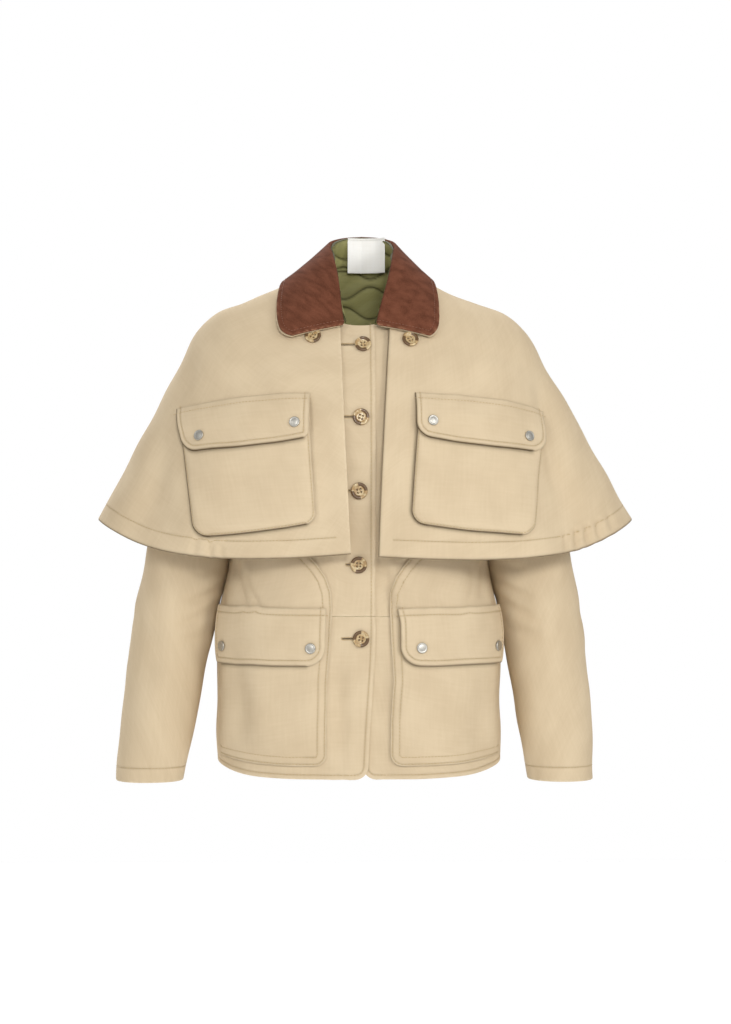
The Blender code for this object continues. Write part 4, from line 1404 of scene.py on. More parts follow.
@dataclass
class Sewing:
    """The threads of one sub-assembly, joined into one piece."""

    name: str
    finish: SewingThread
    seed: int
    stitches: list[Grid] = field(default_factory=list)

    # Places along a stitch and above the cloth, the corners of its thread, and how much stitches slant
    SECTIONS: ClassVar[tuple] = ((-0.5, -0.55), (-0.24, 0.3), (0.24, 0.3), (0.5, -0.55))
    ROUND: ClassVar[tuple] = ((1, 0), (0, 1), (-1, 0), (0, -1))
    SLANT: ClassVar[float] = 0.07

    def lay(self, line: Grid, surface: Grid, normals: Grid) -> None:
        """Lays stitches along a line, seated on the nearest points of a surface with its normals.

        Args:
            line: Points along the seam.
            surface: Points of the cloth.
            normals: The cloth's normals there.
        """
        spots = resample(line, STITCH_PITCH)
        index, _ = nearest(spots, surface)
        up = normals[index]
        spots = spots + up * np.sum((surface[index] - spots) * up, axis=-1, keepdims=True)
        self.add(spots, unit(np.gradient(spots, axis=0)), up)

    def add(
        self, spots: Grid, along: Grid, up: Grid, length: float = STITCH_LENGTH, width: float = THREAD
    ) -> None:
        """Adds stitches by their middles, directions and sizes."""
        sizes = np.broadcast_to(np.array([length, width], float), (len(spots), 2))
        self.stitches.append(np.concatenate([spots, along, up, sizes], axis=-1))

    def build(self) -> None:
        """Makes each stitch a thread that rises out of the cloth and dives back, with square rings."""
        middle, along, up, size = np.split(np.concatenate(self.stitches), (3, 6, 9), axis=1)
        count, rings, corners = len(middle), len(self.SECTIONS), len(self.ROUND)
        slant = np.random.default_rng(self.seed).normal(0, self.SLANT, count)[:, None]
        side = unit(np.cross(along, up))
        along = unit(along + side * slant)
        middle, along, side, up = (part[:, None, None] for part in (middle, along, side, up))
        length, width = size[:, 0, None, None, None], size[:, 1, None, None, None]
        sections = np.array(self.SECTIONS)[:, None, :, None]
        ring = np.array(self.ROUND)[None, :, :, None] / 2
        points = middle + along * length * sections[:, :, 0]
        points = points + up * width * (sections[:, :, 1] + ring[:, :, 1]) + side * width * ring[:, :, 0]
        index = np.arange(count * rings * corners).reshape(-1, rings, corners)
        turned = np.roll(index, -1, axis=2)
        walls = np.stack([index[:, :-1], turned[:, :-1], turned[:, 1:], index[:, 1:]], axis=-1).reshape(-1, 4)
        ends = np.concatenate([index[:, 0, ::-1], index[:, -1]])
        new_piece(self.name, points.reshape(-1, 3), [walls, ends], self.finish)


@dataclass
class Jacket:
    """Fronts and back of the jacket's body, sewn at the waist, shoulders and sides, with a rounded hem."""

    waist_z: float = -440
    hem_z: float = -640
    overlap: float = 18
    right_hem_overlap: float = 9
    left_hem_overlap: float = -3
    overlap_turn_z: float = -455
    hem_corner: float = 16
    front_width: float = 215
    back_length: float = 640
    back_width: float = 560
    tuck_depth: float = 2.6
    tuck_from_x: float = 70
    tuck_to_x: float = 26
    seam_forward: float = 12
    front_scoop: float = 32
    back_scoop: float = 24
    front_step: float = 3.0
    lower_step: float = 2.4
    back_step: float = 4.2
    stitch_in: float = 5.5
    hem_stitch_in: float = 6.5
    first_button_z: float = -105
    button_pitch: float = 90.6
    button_x: tuple[float, ...] = (3.2, 0, -2.3, -2.6, 0)
    hole_ends_x: tuple[float, ...] = (-25, -21, -15, -18, -23)
    hole_from_x: float = -5
    hole_depth: float = 1.4
    hole_width: float = 0.9
    slit_sink: float = 0.5
    slit_stitch: Pair = (2.2, 0.8)
    bind_out: float = 1.6
    bind_sink: float = 0.3
    bind_stitch: Pair = (1.5, 0.8)
    bar_out: float = 0.6
    bar_stitch: Pair = (3.2, 0.8)
    pocket_press: Pair = (0.6, 1.7)
    sewing: Sewing = field(default_factory=lambda: Sewing("stitching_body", TAN_THREAD, 1))
    holes: Sewing = field(default_factory=lambda: Sewing("buttonhole_slit_shade", SLIT_SHADE_THREAD, 9))

    def __post_init__(self) -> None:
        """Works out the levels of the shoulder, underarm and waist."""
        self.shoulder = BODY.level(SHOULDER_RING)
        self.underarm = BODY.level(UNDERARM_RING)
        self.waist = float(BODY.level_at(math.pi / 2, np.array(float(self.waist_z))))

    def armhole_share(self, level: Any, grow: float) -> Grid:
        """How open the armhole is at a level: 0 at the shoulder and underarm, 1 halfway.

        Args:
            level: Level on the body.
            grow: How far the opening reaches past shoulder and underarm.

        Returns:
            The share.
        """
        top, bottom = self.shoulder - grow, self.underarm + grow
        share = np.clip((level - top) / (bottom - top), 0, 1)
        return 2 * np.sqrt(share * (1 - share))

    def side_seam(self, level: Any) -> Grid:
        """Angle of the shoulder seam and side seam, which drifts forward below the underarm."""
        return np.radians(90 - self.seam_forward * smooth(self.underarm, self.waist, level))

    def front_edge(self, level: Any, inset: float = SEAM / 2, grow: float = 0.0) -> Grid:
        """Angle of the front panel's shoulder, armhole and side edge."""
        opening = np.radians(self.front_scoop) * self.armhole_share(level, grow)
        return self.side_seam(level) - opening + inset / BODY.ring(level).front_y

    def back_edge(self, level: Any, inset: float = SEAM / 2, grow: float = 0.0) -> Grid:
        """Angle of the back panel's shoulder, armhole and side edge."""
        opening = np.radians(self.back_scoop) * self.armhole_share(level, grow)
        return self.side_seam(level) + opening + inset / BODY.ring(level).back_y

    def closing(self, hem_overlap: float) -> AngleOf:
        """Angle of a front's closing edge at a level: past centre front, and rounded at the hem.

        Args:
            hem_overlap: Overlap at the hem.

        Returns:
            The angle as a function of the level.
        """

        def angle(level: Grid) -> Grid:
            """The angle at a level.

            Args:
                level: Level on the body.

            Returns:
                The angle.
            """
            z = BODY.plain(0.0, level)[..., 2]
            overlap = self.overlap + (hem_overlap - self.overlap) * smooth(self.overlap_turn_z, self.hem_z, z)
            return BODY.angle_at(corner_inset(z - self.hem_z, self.hem_corner) - overlap, level)

        return angle

    def tuck(self, angle: Grid, level: Grid) -> Grid:
        """How far the left front sinks to pass behind the right front, near the closing."""
        x = BODY.plain(angle, level)[..., 0]
        return -self.tuck_depth * (1 - smooth(self.tuck_to_x, self.tuck_from_x, x))

    def button_heights(self) -> Grid:
        """Heights of the front buttons."""
        return self.first_button_z - self.button_pitch * np.arange(len(self.button_x))

    def build_front(self, side: str, sign: int, half: Half, pockets: "HipPockets") -> None:
        """One piece of a front, with its topstitched closing edge and, on the right, its buttonholes.

        Args:
            side: The wearer's side.
            sign: The sign of x on that side.
            half: Which piece it is.
            pockets: The pockets that press into it.
        """
        closing = self.closing(self.left_hem_overlap if sign > 0 else self.right_hem_overlap)
        upper = half is Half.UPPER
        gap = SEAM / 2 if upper else -SEAM / 2
        waist = float(BODY.level_at(0.0, np.array(self.waist_z + gap)))
        top, bottom = (0.0, waist) if upper else (waist, 1.0)
        step = self.front_step if upper else self.lower_step
        levels = np.linspace(top, bottom, LATTICE)
        edge = BODY.point(closing(levels), levels)
        run = run_along(edge)
        spots = zip(self.hole_ends_x, self.button_heights())
        spots = [(end_x, z) for end_x, z in spots if edge[-1, 2] < z < edge[0, 2]]
        lines = [float(np.interp(-z, -edge[:, 2], run)) for _, z in spots]
        if not upper:
            lines += [run[-1] - self.hem_stitch_in, run[-1] - self.hem_corner]
        rows = stations(run[-1], step, tuple(lines))
        columns = stations(self.front_width, step, (self.stitch_in,))
        angle, level = BODY.lay_out(closing, self.front_edge, top, bottom, rows, columns)
        out = self.tuck(angle, level) if sign > 0 else 0.0
        points = face_out(BODY.place(sign * angle, level, out), sign)
        panel = Panel(f"front_{side}_{half.value}", points, CANVAS)
        worn = panel.roll_edges()
        panel.press(pockets.outline(side, sign), *self.pocket_press)
        panel.sew(panel.inset(self.stitch_in, *(FRONT_SIDE if upper else FRONT_AND_BOTTOM)[sign]))
        if sign < 0:
            for end_x, z in spots:
                self.cut_buttonhole(panel, end_x, z)
        panel.build(COTTON_CANVAS, Held.HUNG, self.sewing, worn)

    def cut_buttonhole(self, panel: Panel, end_x: float, z: float) -> None:
        """Sinks a slit beside a button, with dark stitches along its floor that stand in for its shadow, and
        binds it with stitches square to it.

        Args:
            panel: The front.
            end_x: Where the slit ends.
            z: Its height.
        """
        x = np.arange(end_x, self.hole_from_x)
        angle, level = BODY.front_spot(x, np.full(x.shape, float(z)))
        slit = BODY.place(angle, level, 0.0)
        normal = BODY.normal_of(BODY.plain, angle, level)
        up = np.broadcast_to(UP, slit.shape)
        panel.press(slit, self.hole_depth, self.hole_width)
        for lift in (self.bind_out, -self.bind_out):
            self.sewing.add(slit + up * lift - normal * self.bind_sink, up, normal, *self.bind_stitch)
        self.sewing.add(slit[:1] - np.array([self.bar_out, 0.0, 0.0]), up[:1], normal[:1], *self.bar_stitch)
        # Dark thread sunk along the slit's floor stands in for the slit's shadow
        slit, normal = slit[::2], normal[::2]
        along = unit(np.gradient(slit, axis=0))
        self.holes.add(slit - normal * self.slit_sink, along, normal, *self.slit_stitch)

    def build_back(self) -> None:
        """The back in one piece, from side seam to side seam, with its topstitched hem."""
        rows = stations(self.back_length, self.back_step, (self.back_length - self.hem_stitch_in,))
        columns = stations(self.back_width, self.back_step)
        angle, level = BODY.lay_out(
            self.back_edge, lambda level: 2 * math.pi - self.back_edge(level), 0.0, 1.0, rows, columns
        )
        panel = Panel("back", BODY.place(angle, level), CANVAS)
        worn = panel.roll_edges()
        panel.sew(panel.inset(self.hem_stitch_in, Side.BOTTOM))
        panel.build(COTTON_CANVAS, Held.HUNG, self.sewing, worn)

    def build(self, pockets: "HipPockets") -> None:
        """Builds the fronts, the back and their thread.

        Args:
            pockets: The pockets on its fronts.
        """
        for side, sign in SIDES:
            for half in Half:
                self.build_front(side, sign, half, pockets)
        self.build_back()
        self.sewing.build()
        self.holes.build()


@dataclass
class Sleeves:
    """Two sleeves, one tube each, which hang a little to the wearer's right at the cuff."""

    armhole_seam: float = 1.7
    sway: float = -4.5
    sway_power: float = 6
    columns: int = 132
    step: float = 3.6
    cuff_stitch: float = 18
    front_blend: float = 0.2
    right_shift: float = 7
    crease_from: Pair = (0.1, 0.3)
    sewing: Sewing = field(default_factory=lambda: Sewing("stitching_sleeves", TAN_THREAD, 2))

    def grid(self, jacket: Jacket) -> tuple[Grid, Grid, Grid]:
        """Points of the left sleeve through its sections, from the armhole to the cuff.

        Args:
            jacket: The body, whose armhole it starts from.

        Returns:
            The points, how far each is to the back, and each row's share of the way down.
        """
        turn = np.linspace(0, 2 * math.pi, self.columns, endpoint=False)
        sine, cosine = np.sin(turn), np.cos(turn)
        level = jacket.shoulder + (jacket.underarm - jacket.shoulder) * (1 - cosine) / 2
        edge = np.where(sine > 0, jacket.back_edge(level, 0), jacket.front_edge(level, 0))
        loop = BODY.plain(edge, level)
        part = Section(*np.array(SLEEVE_SECTIONS).T[..., None])
        middle_x, middle_z = (part.outer_x + part.inner_x) / 2, (part.outer_z + part.inner_z) / 2
        x = middle_x + (part.outer_x - middle_x) * cosine
        z = middle_z + (part.outer_z - middle_z) * cosine
        rings = np.stack([x, part.centre_y + part.half_depth * sine, z], axis=-1)
        rings = np.concatenate([(loop + unit(rings[0] - loop) * self.armhole_seam)[None], rings])
        fine = np.linspace(0, 1, LATTICE)
        flat = rings.reshape(len(rings), -1)
        run = run_along(spline(flat, fine).reshape(LATTICE, -1, 3).swapaxes(0, 1)).mean(0)
        rows = stations(run[-1], self.step, (run[-1] - self.cuff_stitch,))
        at = np.interp(rows, run, fine)
        points = spline(flat, at).reshape(len(at), -1, 3)
        return points, np.broadcast_to(sine, points.shape[:2]), at

    def build(self, jacket: Jacket) -> None:
        """Builds both sleeves with their creases and stitched cuffs.

        Args:
            jacket: The jacket that they are set into.
        """
        points, behind, at = self.grid(jacket)
        front = smooth(self.front_blend, -self.front_blend, behind)
        x, z = points[..., 0], points[..., 2]
        for side, sign in SIDES:
            shift = 0 if sign > 0 else self.right_shift
            height = front * crease_height(SLEEVE_FRONT_CREASES, x, z + shift)
            height = height + (1 - front) * crease_height(SLEEVE_BACK_CREASES, x, z - shift)
            height = (height + drift(x * sign, z)) * smooth(*self.crease_from, at)[:, None]
            plain = Panel("plain", points, CANVAS, closed=True)
            shaped = points + plain.normals() * height[..., None]
            shaped = face_out(shaped * np.array([sign, 1, 1]), sign)
            shaped[..., 0] += self.sway * at[:, None] ** self.sway_power
            panel = Panel(f"sleeve_{side}", shaped, CANVAS, closed=True)
            worn = panel.roll_edges(Side.BOTTOM)
            panel.sew(panel.inset(self.cuff_stitch, Side.BOTTOM))
            panel.build(COTTON_CANVAS, Held.HUNG, self.sewing, worn)
        self.sewing.build()


@dataclass
class Cape:
    """The cape: two fronts and a back, seamed over the shoulders, with a deep stitched hem."""

    right_edge: Pair = (25, 22)
    left_edge: Pair = (37, 12)
    right_lift: float = 0.035
    left_lift: float = 0.024
    lift_power: float = 3
    front_length: float = 390
    front_width: float = 370
    front_step: float = 2.7
    back_length: float = 440
    back_width: float = 800
    back_step: float = 4.0
    stitch_in: float = 22
    stitch_depth: float = 0.35
    stitch_end: float = 18
    seam_stitch_in: float = 5
    pocket_press: Pair = (1.3, 2.2)
    # Painted shadow beside the pocket's shaded sides, and along the hem and the left front's closing edge
    pocket_soil: float = 0.4
    edge_shade: float = 0.8
    sewing: Sewing = field(default_factory=lambda: Sewing("stitching_cape", TAN_THREAD, 3))

    def build_front(self, side: str, sign: int, pockets: "CapePockets") -> None:
        """A cape front, from its front edge to the shoulder line, pressed in along its pocket's edge, with
        painted shadow beside the pocket and along the hem and the left front's closing edge.

        Args:
            side: The wearer's side.
            sign: The sign of x on that side.
            pockets: The pockets that press into it.
        """
        edges = self.left_edge if sign > 0 else self.right_edge
        rows = stations(self.front_length, self.front_step, (self.front_length - self.stitch_in,))
        columns = stations(self.front_width, self.front_step)
        angle, level = CAPE.lay_out(
            lambda level: CAPE.angle_at(edges[0] + (edges[1] - edges[0]) * level, level),
            lambda level: math.pi / 2 + SEAM / 2 / CAPE.ring(level).front_y,
            0.0, 1.0, rows, columns,
        )
        lift = self.left_lift if sign > 0 else self.right_lift
        level = level * (1 - lift * (1 - columns / columns[-1]) ** self.lift_power)
        panel = Panel(f"cape_front_{side}", face_out(CAPE.place(sign * angle, level), sign), CANVAS)
        worn = panel.roll_edges()
        front = panel.edge(panel.base, *FRONT_SIDE[sign])
        hem = panel.inset(self.stitch_in, Side.BOTTOM)
        panel.sew(hem[distance(hem, front) > self.stitch_end], self.stitch_depth)
        angle, level, _ = pockets.pocket_grid(side)
        depth, width = self.pocket_press
        panel.press(sewn_edge(CAPE, angle, level, sign), depth, width)
        # Painted shadow outside the pocket's shaded sides, and along the front's hem and closing edge
        panel.press(sewn_edge(CAPE, angle, level, sign, 0.0, DARK_SIDES), 0.0, width, self.pocket_soil)
        panel.paint_edge_shade(self.edge_shade, *((Side.START, Side.BOTTOM) if sign > 0 else (Side.BOTTOM,)))
        panel.build(COTTON_CANVAS, Held.DRAPED, self.sewing, worn)

    def build_back(self) -> None:
        """The cape back, with stitching beside both shoulder seams and along its hem."""
        width, stitch_in = self.back_width, self.seam_stitch_in
        rows = stations(self.back_length, self.back_step, (self.back_length - self.stitch_in,))
        columns = stations(width, self.back_step, (stitch_in, width - stitch_in))

        def seam(level: Grid) -> Grid:
            """Angle of the shoulder seam at a level."""
            return math.pi / 2 + SEAM / 2 / CAPE.ring(level).back_y

        angle, level = CAPE.lay_out(seam, lambda level: 2 * math.pi - seam(level), 0.0, 1.0, rows, columns)
        panel = Panel("cape_back", CAPE.place(angle, level), CANVAS)
        worn = panel.roll_edges()
        panel.sew(panel.inset(self.stitch_in, Side.BOTTOM))
        panel.sew(panel.inset(stitch_in, Side.START))
        panel.sew(panel.inset(stitch_in, Side.END))
        panel.build(COTTON_CANVAS, Held.DRAPED, self.sewing, worn)

    def build(self, pockets: "CapePockets") -> None:
        """Builds the cape and its thread.

        Args:
            pockets: The pockets on its fronts.
        """
        for side, sign in SIDES:
            self.build_front(side, sign, pockets)
        self.build_back()
        self.sewing.build()


@dataclass
class Collar:
    """A suede top collar that rolls over into the neck, its canvas under collar and the lined stand."""

    bulge: float = 2
    lean: float = 5
    corner: float = 0.12
    tip_points: int = 24
    left_trim: float = 0.16
    under_proud: float = 0.02
    under_from: float = 0.05
    under_rows: int = 26
    columns: int = 260
    step: float = 1.9
    leaf_length: float = 78
    stitch_in: float = 6.5
    stitch_depth: float = 0.4
    roll_points: int = 9
    roll_radius: float = 3.1
    roll_thins: float = 0.05
    least_roll: float = 0.25
    stand_behind: float = 6.2
    stand_least: float = 14
    stand_gap: float = 1.0
    stand_rows: int = 24
    edge_shade: float = 0.9
    sewing: Sewing = field(default_factory=lambda: Sewing("stitching_collar", BROWN_THREAD, 4))

    def half(self, sign: int, share: Grid, down: Grid, trim: float, proud: float) -> tuple[Grid, Grid]:
        """One leaf from centre front to centre back, whose sections run from its roll to its edge.

        Args:
            sign: The sign of x on its side.
            share: Shares of the way round.
            down: Shares of the way from roll to edge.
            trim: How far the edge is drawn in halfway round.
            proud: How far the edge reaches past its place.

        Returns:
            The points, and how far down each is.
        """
        leaf = Leaf(*np.moveaxis(spline(COLLAR_LEAVES, share), -1, 0))
        ring = leaf.edge_ring - trim * np.sin(math.pi * np.sqrt(share)) ** 2
        edge = CAPE.place(sign * np.radians(leaf.angle), CAPE.level(ring), leaf.lift)
        roll = np.stack([sign * leaf.roll_x, leaf.roll_y, leaf.roll_z], axis=-1)
        reach = 1 - corner_inset(share, self.corner) + proud
        depth = down[:, None, None] * reach[None, :, None]
        return roll + (edge - roll) * depth, depth[..., 0]

    def leaf_grid(self, down: Grid, proud: float = 0.0) -> Grid:
        """The collar from the left leaf round the back to the right one, bulged between roll and edge.

        Args:
            down: Shares of the way from roll to edge.
            proud: How far the edge reaches past its place.

        Returns:
            Points, with rows that run down.
        """
        tip = self.corner * (1 - np.cos(np.linspace(0, math.pi / 2, self.tip_points)))
        rest = np.linspace(self.corner, 1, self.columns // 2 - self.tip_points)
        share = np.concatenate([tip[:-1], rest])
        left, depth = self.half(1, share, down, self.left_trim, proud)
        right, _ = self.half(-1, share, down, 0.0, proud)
        whole = np.concatenate([left, right[:, ::-1][:, 1:]], axis=1)
        crown = np.concatenate([depth, depth[:, ::-1][:, 1:]], axis=1)
        whole[..., 0] += self.lean * (1 - crown) * smooth(BODY_RINGS[0].front_z, 0, whole[0, :, 2])
        normal = Panel("plain", whole, SUEDE).normals()
        return whole + normal * (self.bulge * 4 * crown * (1 - np.clip(crown, 0, 1)))[..., None]

    def build(self) -> "Collar":
        """Builds the collar, the under collar and the stand.

        Returns:
            The collar itself.
        """
        down = stations(self.leaf_length, self.step, (self.leaf_length - self.stitch_in,)) / self.leaf_length
        leaf = self.leaf_grid(down)
        turn = np.linspace(math.pi, 0, self.roll_points)[:-1, None, None]
        away = unit(leaf[0] - leaf[1])
        normal = Panel("plain", leaf, SUEDE).normals()[0]
        share = np.linspace(0, 1, leaf.shape[1])
        full = smooth(0, self.roll_thins, np.minimum(share, 1 - share))
        radius = self.roll_radius * (self.least_roll + (1 - self.least_roll) * full)[:, None]
        roll = leaf[0] + radius * (np.sin(turn) * away - (1 - np.cos(turn)) * normal)
        top = Panel("collar", np.concatenate([roll, leaf]), SUEDE)
        worn = top.roll_edges(*SEWN_SIDES)
        top.sew(top.inset(self.stitch_in, *SEWN_SIDES), self.stitch_depth)
        top.build(BROWN_SUEDE, Held.FOLDED, self.sewing, worn)
        under = self.leaf_grid(np.linspace(self.under_from, 1, self.under_rows), self.under_proud)
        under = under - Panel("plain", under, SUEDE).normals() * (SUEDE + 2 * LAYER_GAP)
        below = Panel("under_collar", under, UNDER_COLLAR_WALL)
        below.build(COTTON_CANVAS, Held.FOLDED)
        self.build_stand(leaf[0], normal)
        self.sewing.build()
        return self

    def build_stand(self, roll: Grid, normal: Grid) -> None:
        """The stand, from the neck seam to just inside the roll, with its quilted lining to the neck.

        Args:
            roll: Points along the roll.
            normal: Normals there.
        """
        inside = unit(normal * np.array([1, 1, 0]))
        crest = roll - inside * self.stand_behind
        angle = np.arctan2(crest[:, 0], -crest[:, 1])
        neck = BODY.plain(angle, np.zeros(angle.shape)) + np.array([0, 0, self.stand_gap])
        kept = np.linalg.norm(crest - neck, axis=-1) > self.stand_least
        crest, neck = crest[kept], neck[kept]
        rise = np.linspace(1, 0, self.stand_rows)[:, None, None]
        outer = neck + (crest - neck) * rise
        normals = Panel("plain", outer, STAND_WALL).normals()
        self.stand = (outer - normals * STAND_WALL)[:, ::-1]
        panel = Panel("collar_stand", self.stand, STAND_WALL)
        # The quilting's lines, the stand's ends and its top are painted dark as shade
        panel.relief, panel.painted_shade = QUILTING.sew(self.stand[..., 0], self.stand[..., 2])
        panel.roll_edges(Side.TOP)
        panel.paint_edge_shade(self.edge_shade, Side.START, Side.END, Side.TOP)
        panel.build(OLIVE_QUILTING, Held.FOLDED)


@dataclass(frozen=True)
class Quilting:
    """Onion quilting: lines that wave against each other, with a puff between them."""

    pitch: float = 25
    wave: float = 7.5
    wave_length: float = 68
    depth: float = 3.6
    lift: float = 1.8
    # How dark the shade painted on a line of stitches is, and below it, how wide it spreads
    painted_shade: float = 0.8
    roundness: float = 0.6
    line_width: float = 1.5

    def sew(self, x: Grid, z: Grid) -> tuple[Grid, Grid]:
        """Height of the quilting, and the shade painted near each line of stitches.

        Every second line waves the other way. A point lies between the last line above it and the next one,
        and the cloth is round between them.

        Args:
            x: Places across the cloth.
            z: Places up it.

        Returns:
            The heights, and how dark the painted shade is: most on a line, and none beside it.
        """
        turn = self.wave / self.pitch * np.sin(2 * math.pi * x / self.wave_length)
        rise = -z / self.pitch
        line = np.floor(rise)
        line = line - (rise < line + np.where(line % 2 == 0, turn, -turn))
        line = line + (rise >= line + 1 + np.where(line % 2 == 0, -turn, turn))
        lower = line + np.where(line % 2 == 0, turn, -turn)
        band = 1 + np.where(line % 2 == 0, -2 * turn, 2 * turn)
        share = np.clip((rise - lower) / band, 0, 1)
        beside = np.minimum(share, 1 - share) * band * self.pitch
        return (
            self.depth * (np.sin(math.pi * share) ** self.roundness - 1) + self.lift,
            self.painted_shade * bell(beside / self.line_width),
        )


QUILTING = Quilting()


@dataclass
class Lining:
    """Quilted lining of the back and fronts, whose puffs face the wearer."""

    back_in: float = 5.8
    front_in: float = 5.1
    front_x: float = 46
    top_ring: float = 0.05
    hem_z: float = -606
    length: float = 580
    back_width: float = 520
    front_width: float = 160
    edge: float = 5
    armhole_grow: float = 0.04
    turn_up: float = 26
    back_step: float = 2.6
    front_step: float = 3.2
    neck_step: float = 1.8
    neck_drop: float = 100
    body_step: float = 5.0
    edge_shade: float = 0.8

    def panel(self, name: str, start: AngleOf, end: AngleOf, width: float, out: Callable, sign: int) -> None:
        """One lining panel inside the body, turned so that its puffed face is the outer one.

        Args:
            name: The panel's name.
            start: Angle of its first edge at a level.
            end: Angle of its last edge at a level.
            width: About how wide it is.
            out: How far out from the body it lies, at angles and levels.
            sign: The sign of x on its side, and 0 for the back.
        """
        top = BODY.level(self.top_ring)
        bottom = float(BODY.level_at(math.pi, np.array(self.hem_z)))
        step = self.back_step if sign == 0 else self.front_step
        neck_rows = np.arange(0, self.neck_drop, self.neck_step)
        body_rows = stations(self.length - self.neck_drop, self.body_step)
        rows = np.concatenate([neck_rows, self.neck_drop + body_rows])
        angle, level = BODY.lay_out(start, end, top, bottom, rows, stations(width, step))
        points = BODY.place((sign or 1) * angle, level, out(angle, level) - QUILT_WALL)
        neck = BODY.plain((sign or 1) * angle[0], np.zeros(angle.shape[1]))
        neck = neck - unit(neck * np.array([1, 1, 0])) * (CANVAS + LAYER_GAP + QUILT_WALL)
        run = run_along(points.swapaxes(0, 1)).T
        points = points + (neck - points[0]) * (1 - smooth(0, self.turn_up, run))[..., None]
        points = face_out(points, sign or 1)[:, ::-1]
        lined = Panel(name, points, QUILT_WALL)
        # The quilting's lines and the lining's ends and top are painted dark as shade
        lined.relief, lined.painted_shade = QUILTING.sew(points[..., 0], points[..., 2])
        lined.paint_edge_shade(self.edge_shade, Side.START, Side.END, Side.TOP)
        lined.build(OLIVE_QUILTING, Held.HUNG, worn=lined.roll_edges())

    def build(self, jacket: Jacket) -> None:
        """Builds the three panels.

        Args:
            jacket: The jacket that it lines.
        """
        side = partial(jacket.front_edge, inset=self.edge, grow=self.armhole_grow)
        back = partial(jacket.back_edge, inset=self.edge, grow=self.armhole_grow)

        def facing(level: Grid) -> Grid:
            """Angle of a front's facing edge at a level."""
            return BODY.angle_at(np.full(np.shape(level), self.front_x), level)

        self.panel("lining_back", back, lambda level: 2 * math.pi - back(level), self.back_width,
                   lambda angle, level: np.full(angle.shape, -self.back_in), 0)
        self.panel("lining_front_left", facing, side, self.front_width,
                   lambda angle, level: jacket.tuck(angle, level) - self.front_in, 1)
        self.panel("lining_front_right", facing, side, self.front_width,
                   lambda angle, level: np.full(angle.shape, -self.front_in), -1)


@dataclass
class Label:
    """A blank woven label that hangs plumb inside the back of the neck, against the stand's inner face."""

    width: float = 47
    drop: float = 45.5
    middle_x: float = 10.8
    top_z: float = 44.3
    step: float = 1.4
    bend: float = 1.2
    stitch_in: float = 2.2
    stitch_depth: float = 0.2
    sewing: Sewing = field(default_factory=lambda: Sewing("stitching_label", WHITE_THREAD, 5))

    def build(self, stand: Grid) -> None:
        """Builds the label from the stand's inner face, with stitches along its top and sides.

        Args:
            stand: Points of the stand's inner face.
        """
        x = self.middle_x - self.width / 2 + stations(self.width, self.step)
        z = self.top_z - stations(self.drop, self.step)
        behind = stand[:, stand[0, :, 1] > 0]
        y = np.array([np.interp(x, row[:, 0], row[:, 1]) for row in behind]).min(axis=0)
        across, down = np.meshgrid(x, z)
        sag = self.bend * np.sin(math.pi * (self.top_z - down) / self.drop) ** 2
        points = np.stack([across, y - LAYER_GAP - LABEL_WALL - sag, down], axis=-1)
        panel = Panel("label", points, LABEL_WALL)
        panel.roll_edges()
        panel.sew(panel.inset(self.stitch_in, Side.TOP), self.stitch_depth)
        panel.build(WHITE_TAPE, Held.HUNG, self.sewing)
        self.sewing.build()


@dataclass
class Turned:
    """Turned pieces: a profile of shares carried round an axis that stands on the cloth."""

    profile: tuple[Turn, ...]
    radius: float
    height: float
    rings: int
    steps: int
    top_share: float = 0.45

    def grid(self) -> tuple[Grid, Grid, Grid]:
        """Radius, height and turn over the piece, with even steps along the profile.

        Returns:
            Radius, height and turn at each point.
        """
        profile = np.array(self.profile) * np.array([self.radius, self.height])
        run = run_along(np.pad(profile, ((0, 0), (0, 1))))
        at = np.linspace(0, run[-1], self.rings)
        radius, height = np.interp(at, run, profile[:, 0]), np.interp(at, run, profile[:, 1])
        turn = np.linspace(0, 2 * math.pi, self.steps, endpoint=False)
        return radius[:, None], height[:, None], turn[None]

    def build(
        self, name: str, spot: Grid, normal: Grid, finish: Finish,
        sink: Callable | None = None, streak_and_hole_shade: Callable | None = None,
    ) -> Grid:
        """Makes the piece on a spot.

        Args:
            name: The piece's name, which is the node that it stands for.
            spot: The middle of its foot.
            normal: The direction that it faces.
            finish: Its finish.
            sink: How deep its top is sunk, at places across it.
            streak_and_hole_shade: How dark its material is, at places across it, painted shade included.

        Returns:
            The axes that it stands in.
        """
        radius, height, turn = self.grid()
        side = unit(np.cross(UP, normal))
        axes = np.stack([side, np.cross(normal, side), normal])
        x, y = radius * np.cos(turn), radius * np.sin(turn)
        height = np.broadcast_to(height, x.shape)
        if sink is not None:
            height = height - sink(x, y) * (np.arange(self.rings)[:, None] < self.rings * self.top_share)
        points = spot + np.stack([x, y, height], axis=-1) @ axes
        middle = points[[0, -1]].mean(axis=1)
        count = (self.rings - 2) * self.steps
        index = np.arange(count).reshape(-1, self.steps)
        turned = np.roll(index, -1, axis=1)
        caps = [
            np.stack([np.full(self.steps, count), index[0], turned[0]], axis=-1),
            np.stack([np.full(self.steps, count + 1), turned[-1], index[-1]], axis=-1),
        ]
        faces = [grid_faces(index, True), *caps]
        piece = new_piece(name, np.concatenate([points[1:-1].reshape(-1, 3), middle]), faces, finish)
        if streak_and_hole_shade is not None:
            tone = streak_and_hole_shade(x, y)
            tone = np.append(tone[1:-1].ravel(), tone[[0, -1], 0]).astype(np.float32)
            piece.data.attributes.new("streak_and_hole_shade", "FLOAT", "POINT").data.foreach_set("value", tone)
        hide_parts(name)
        return axes


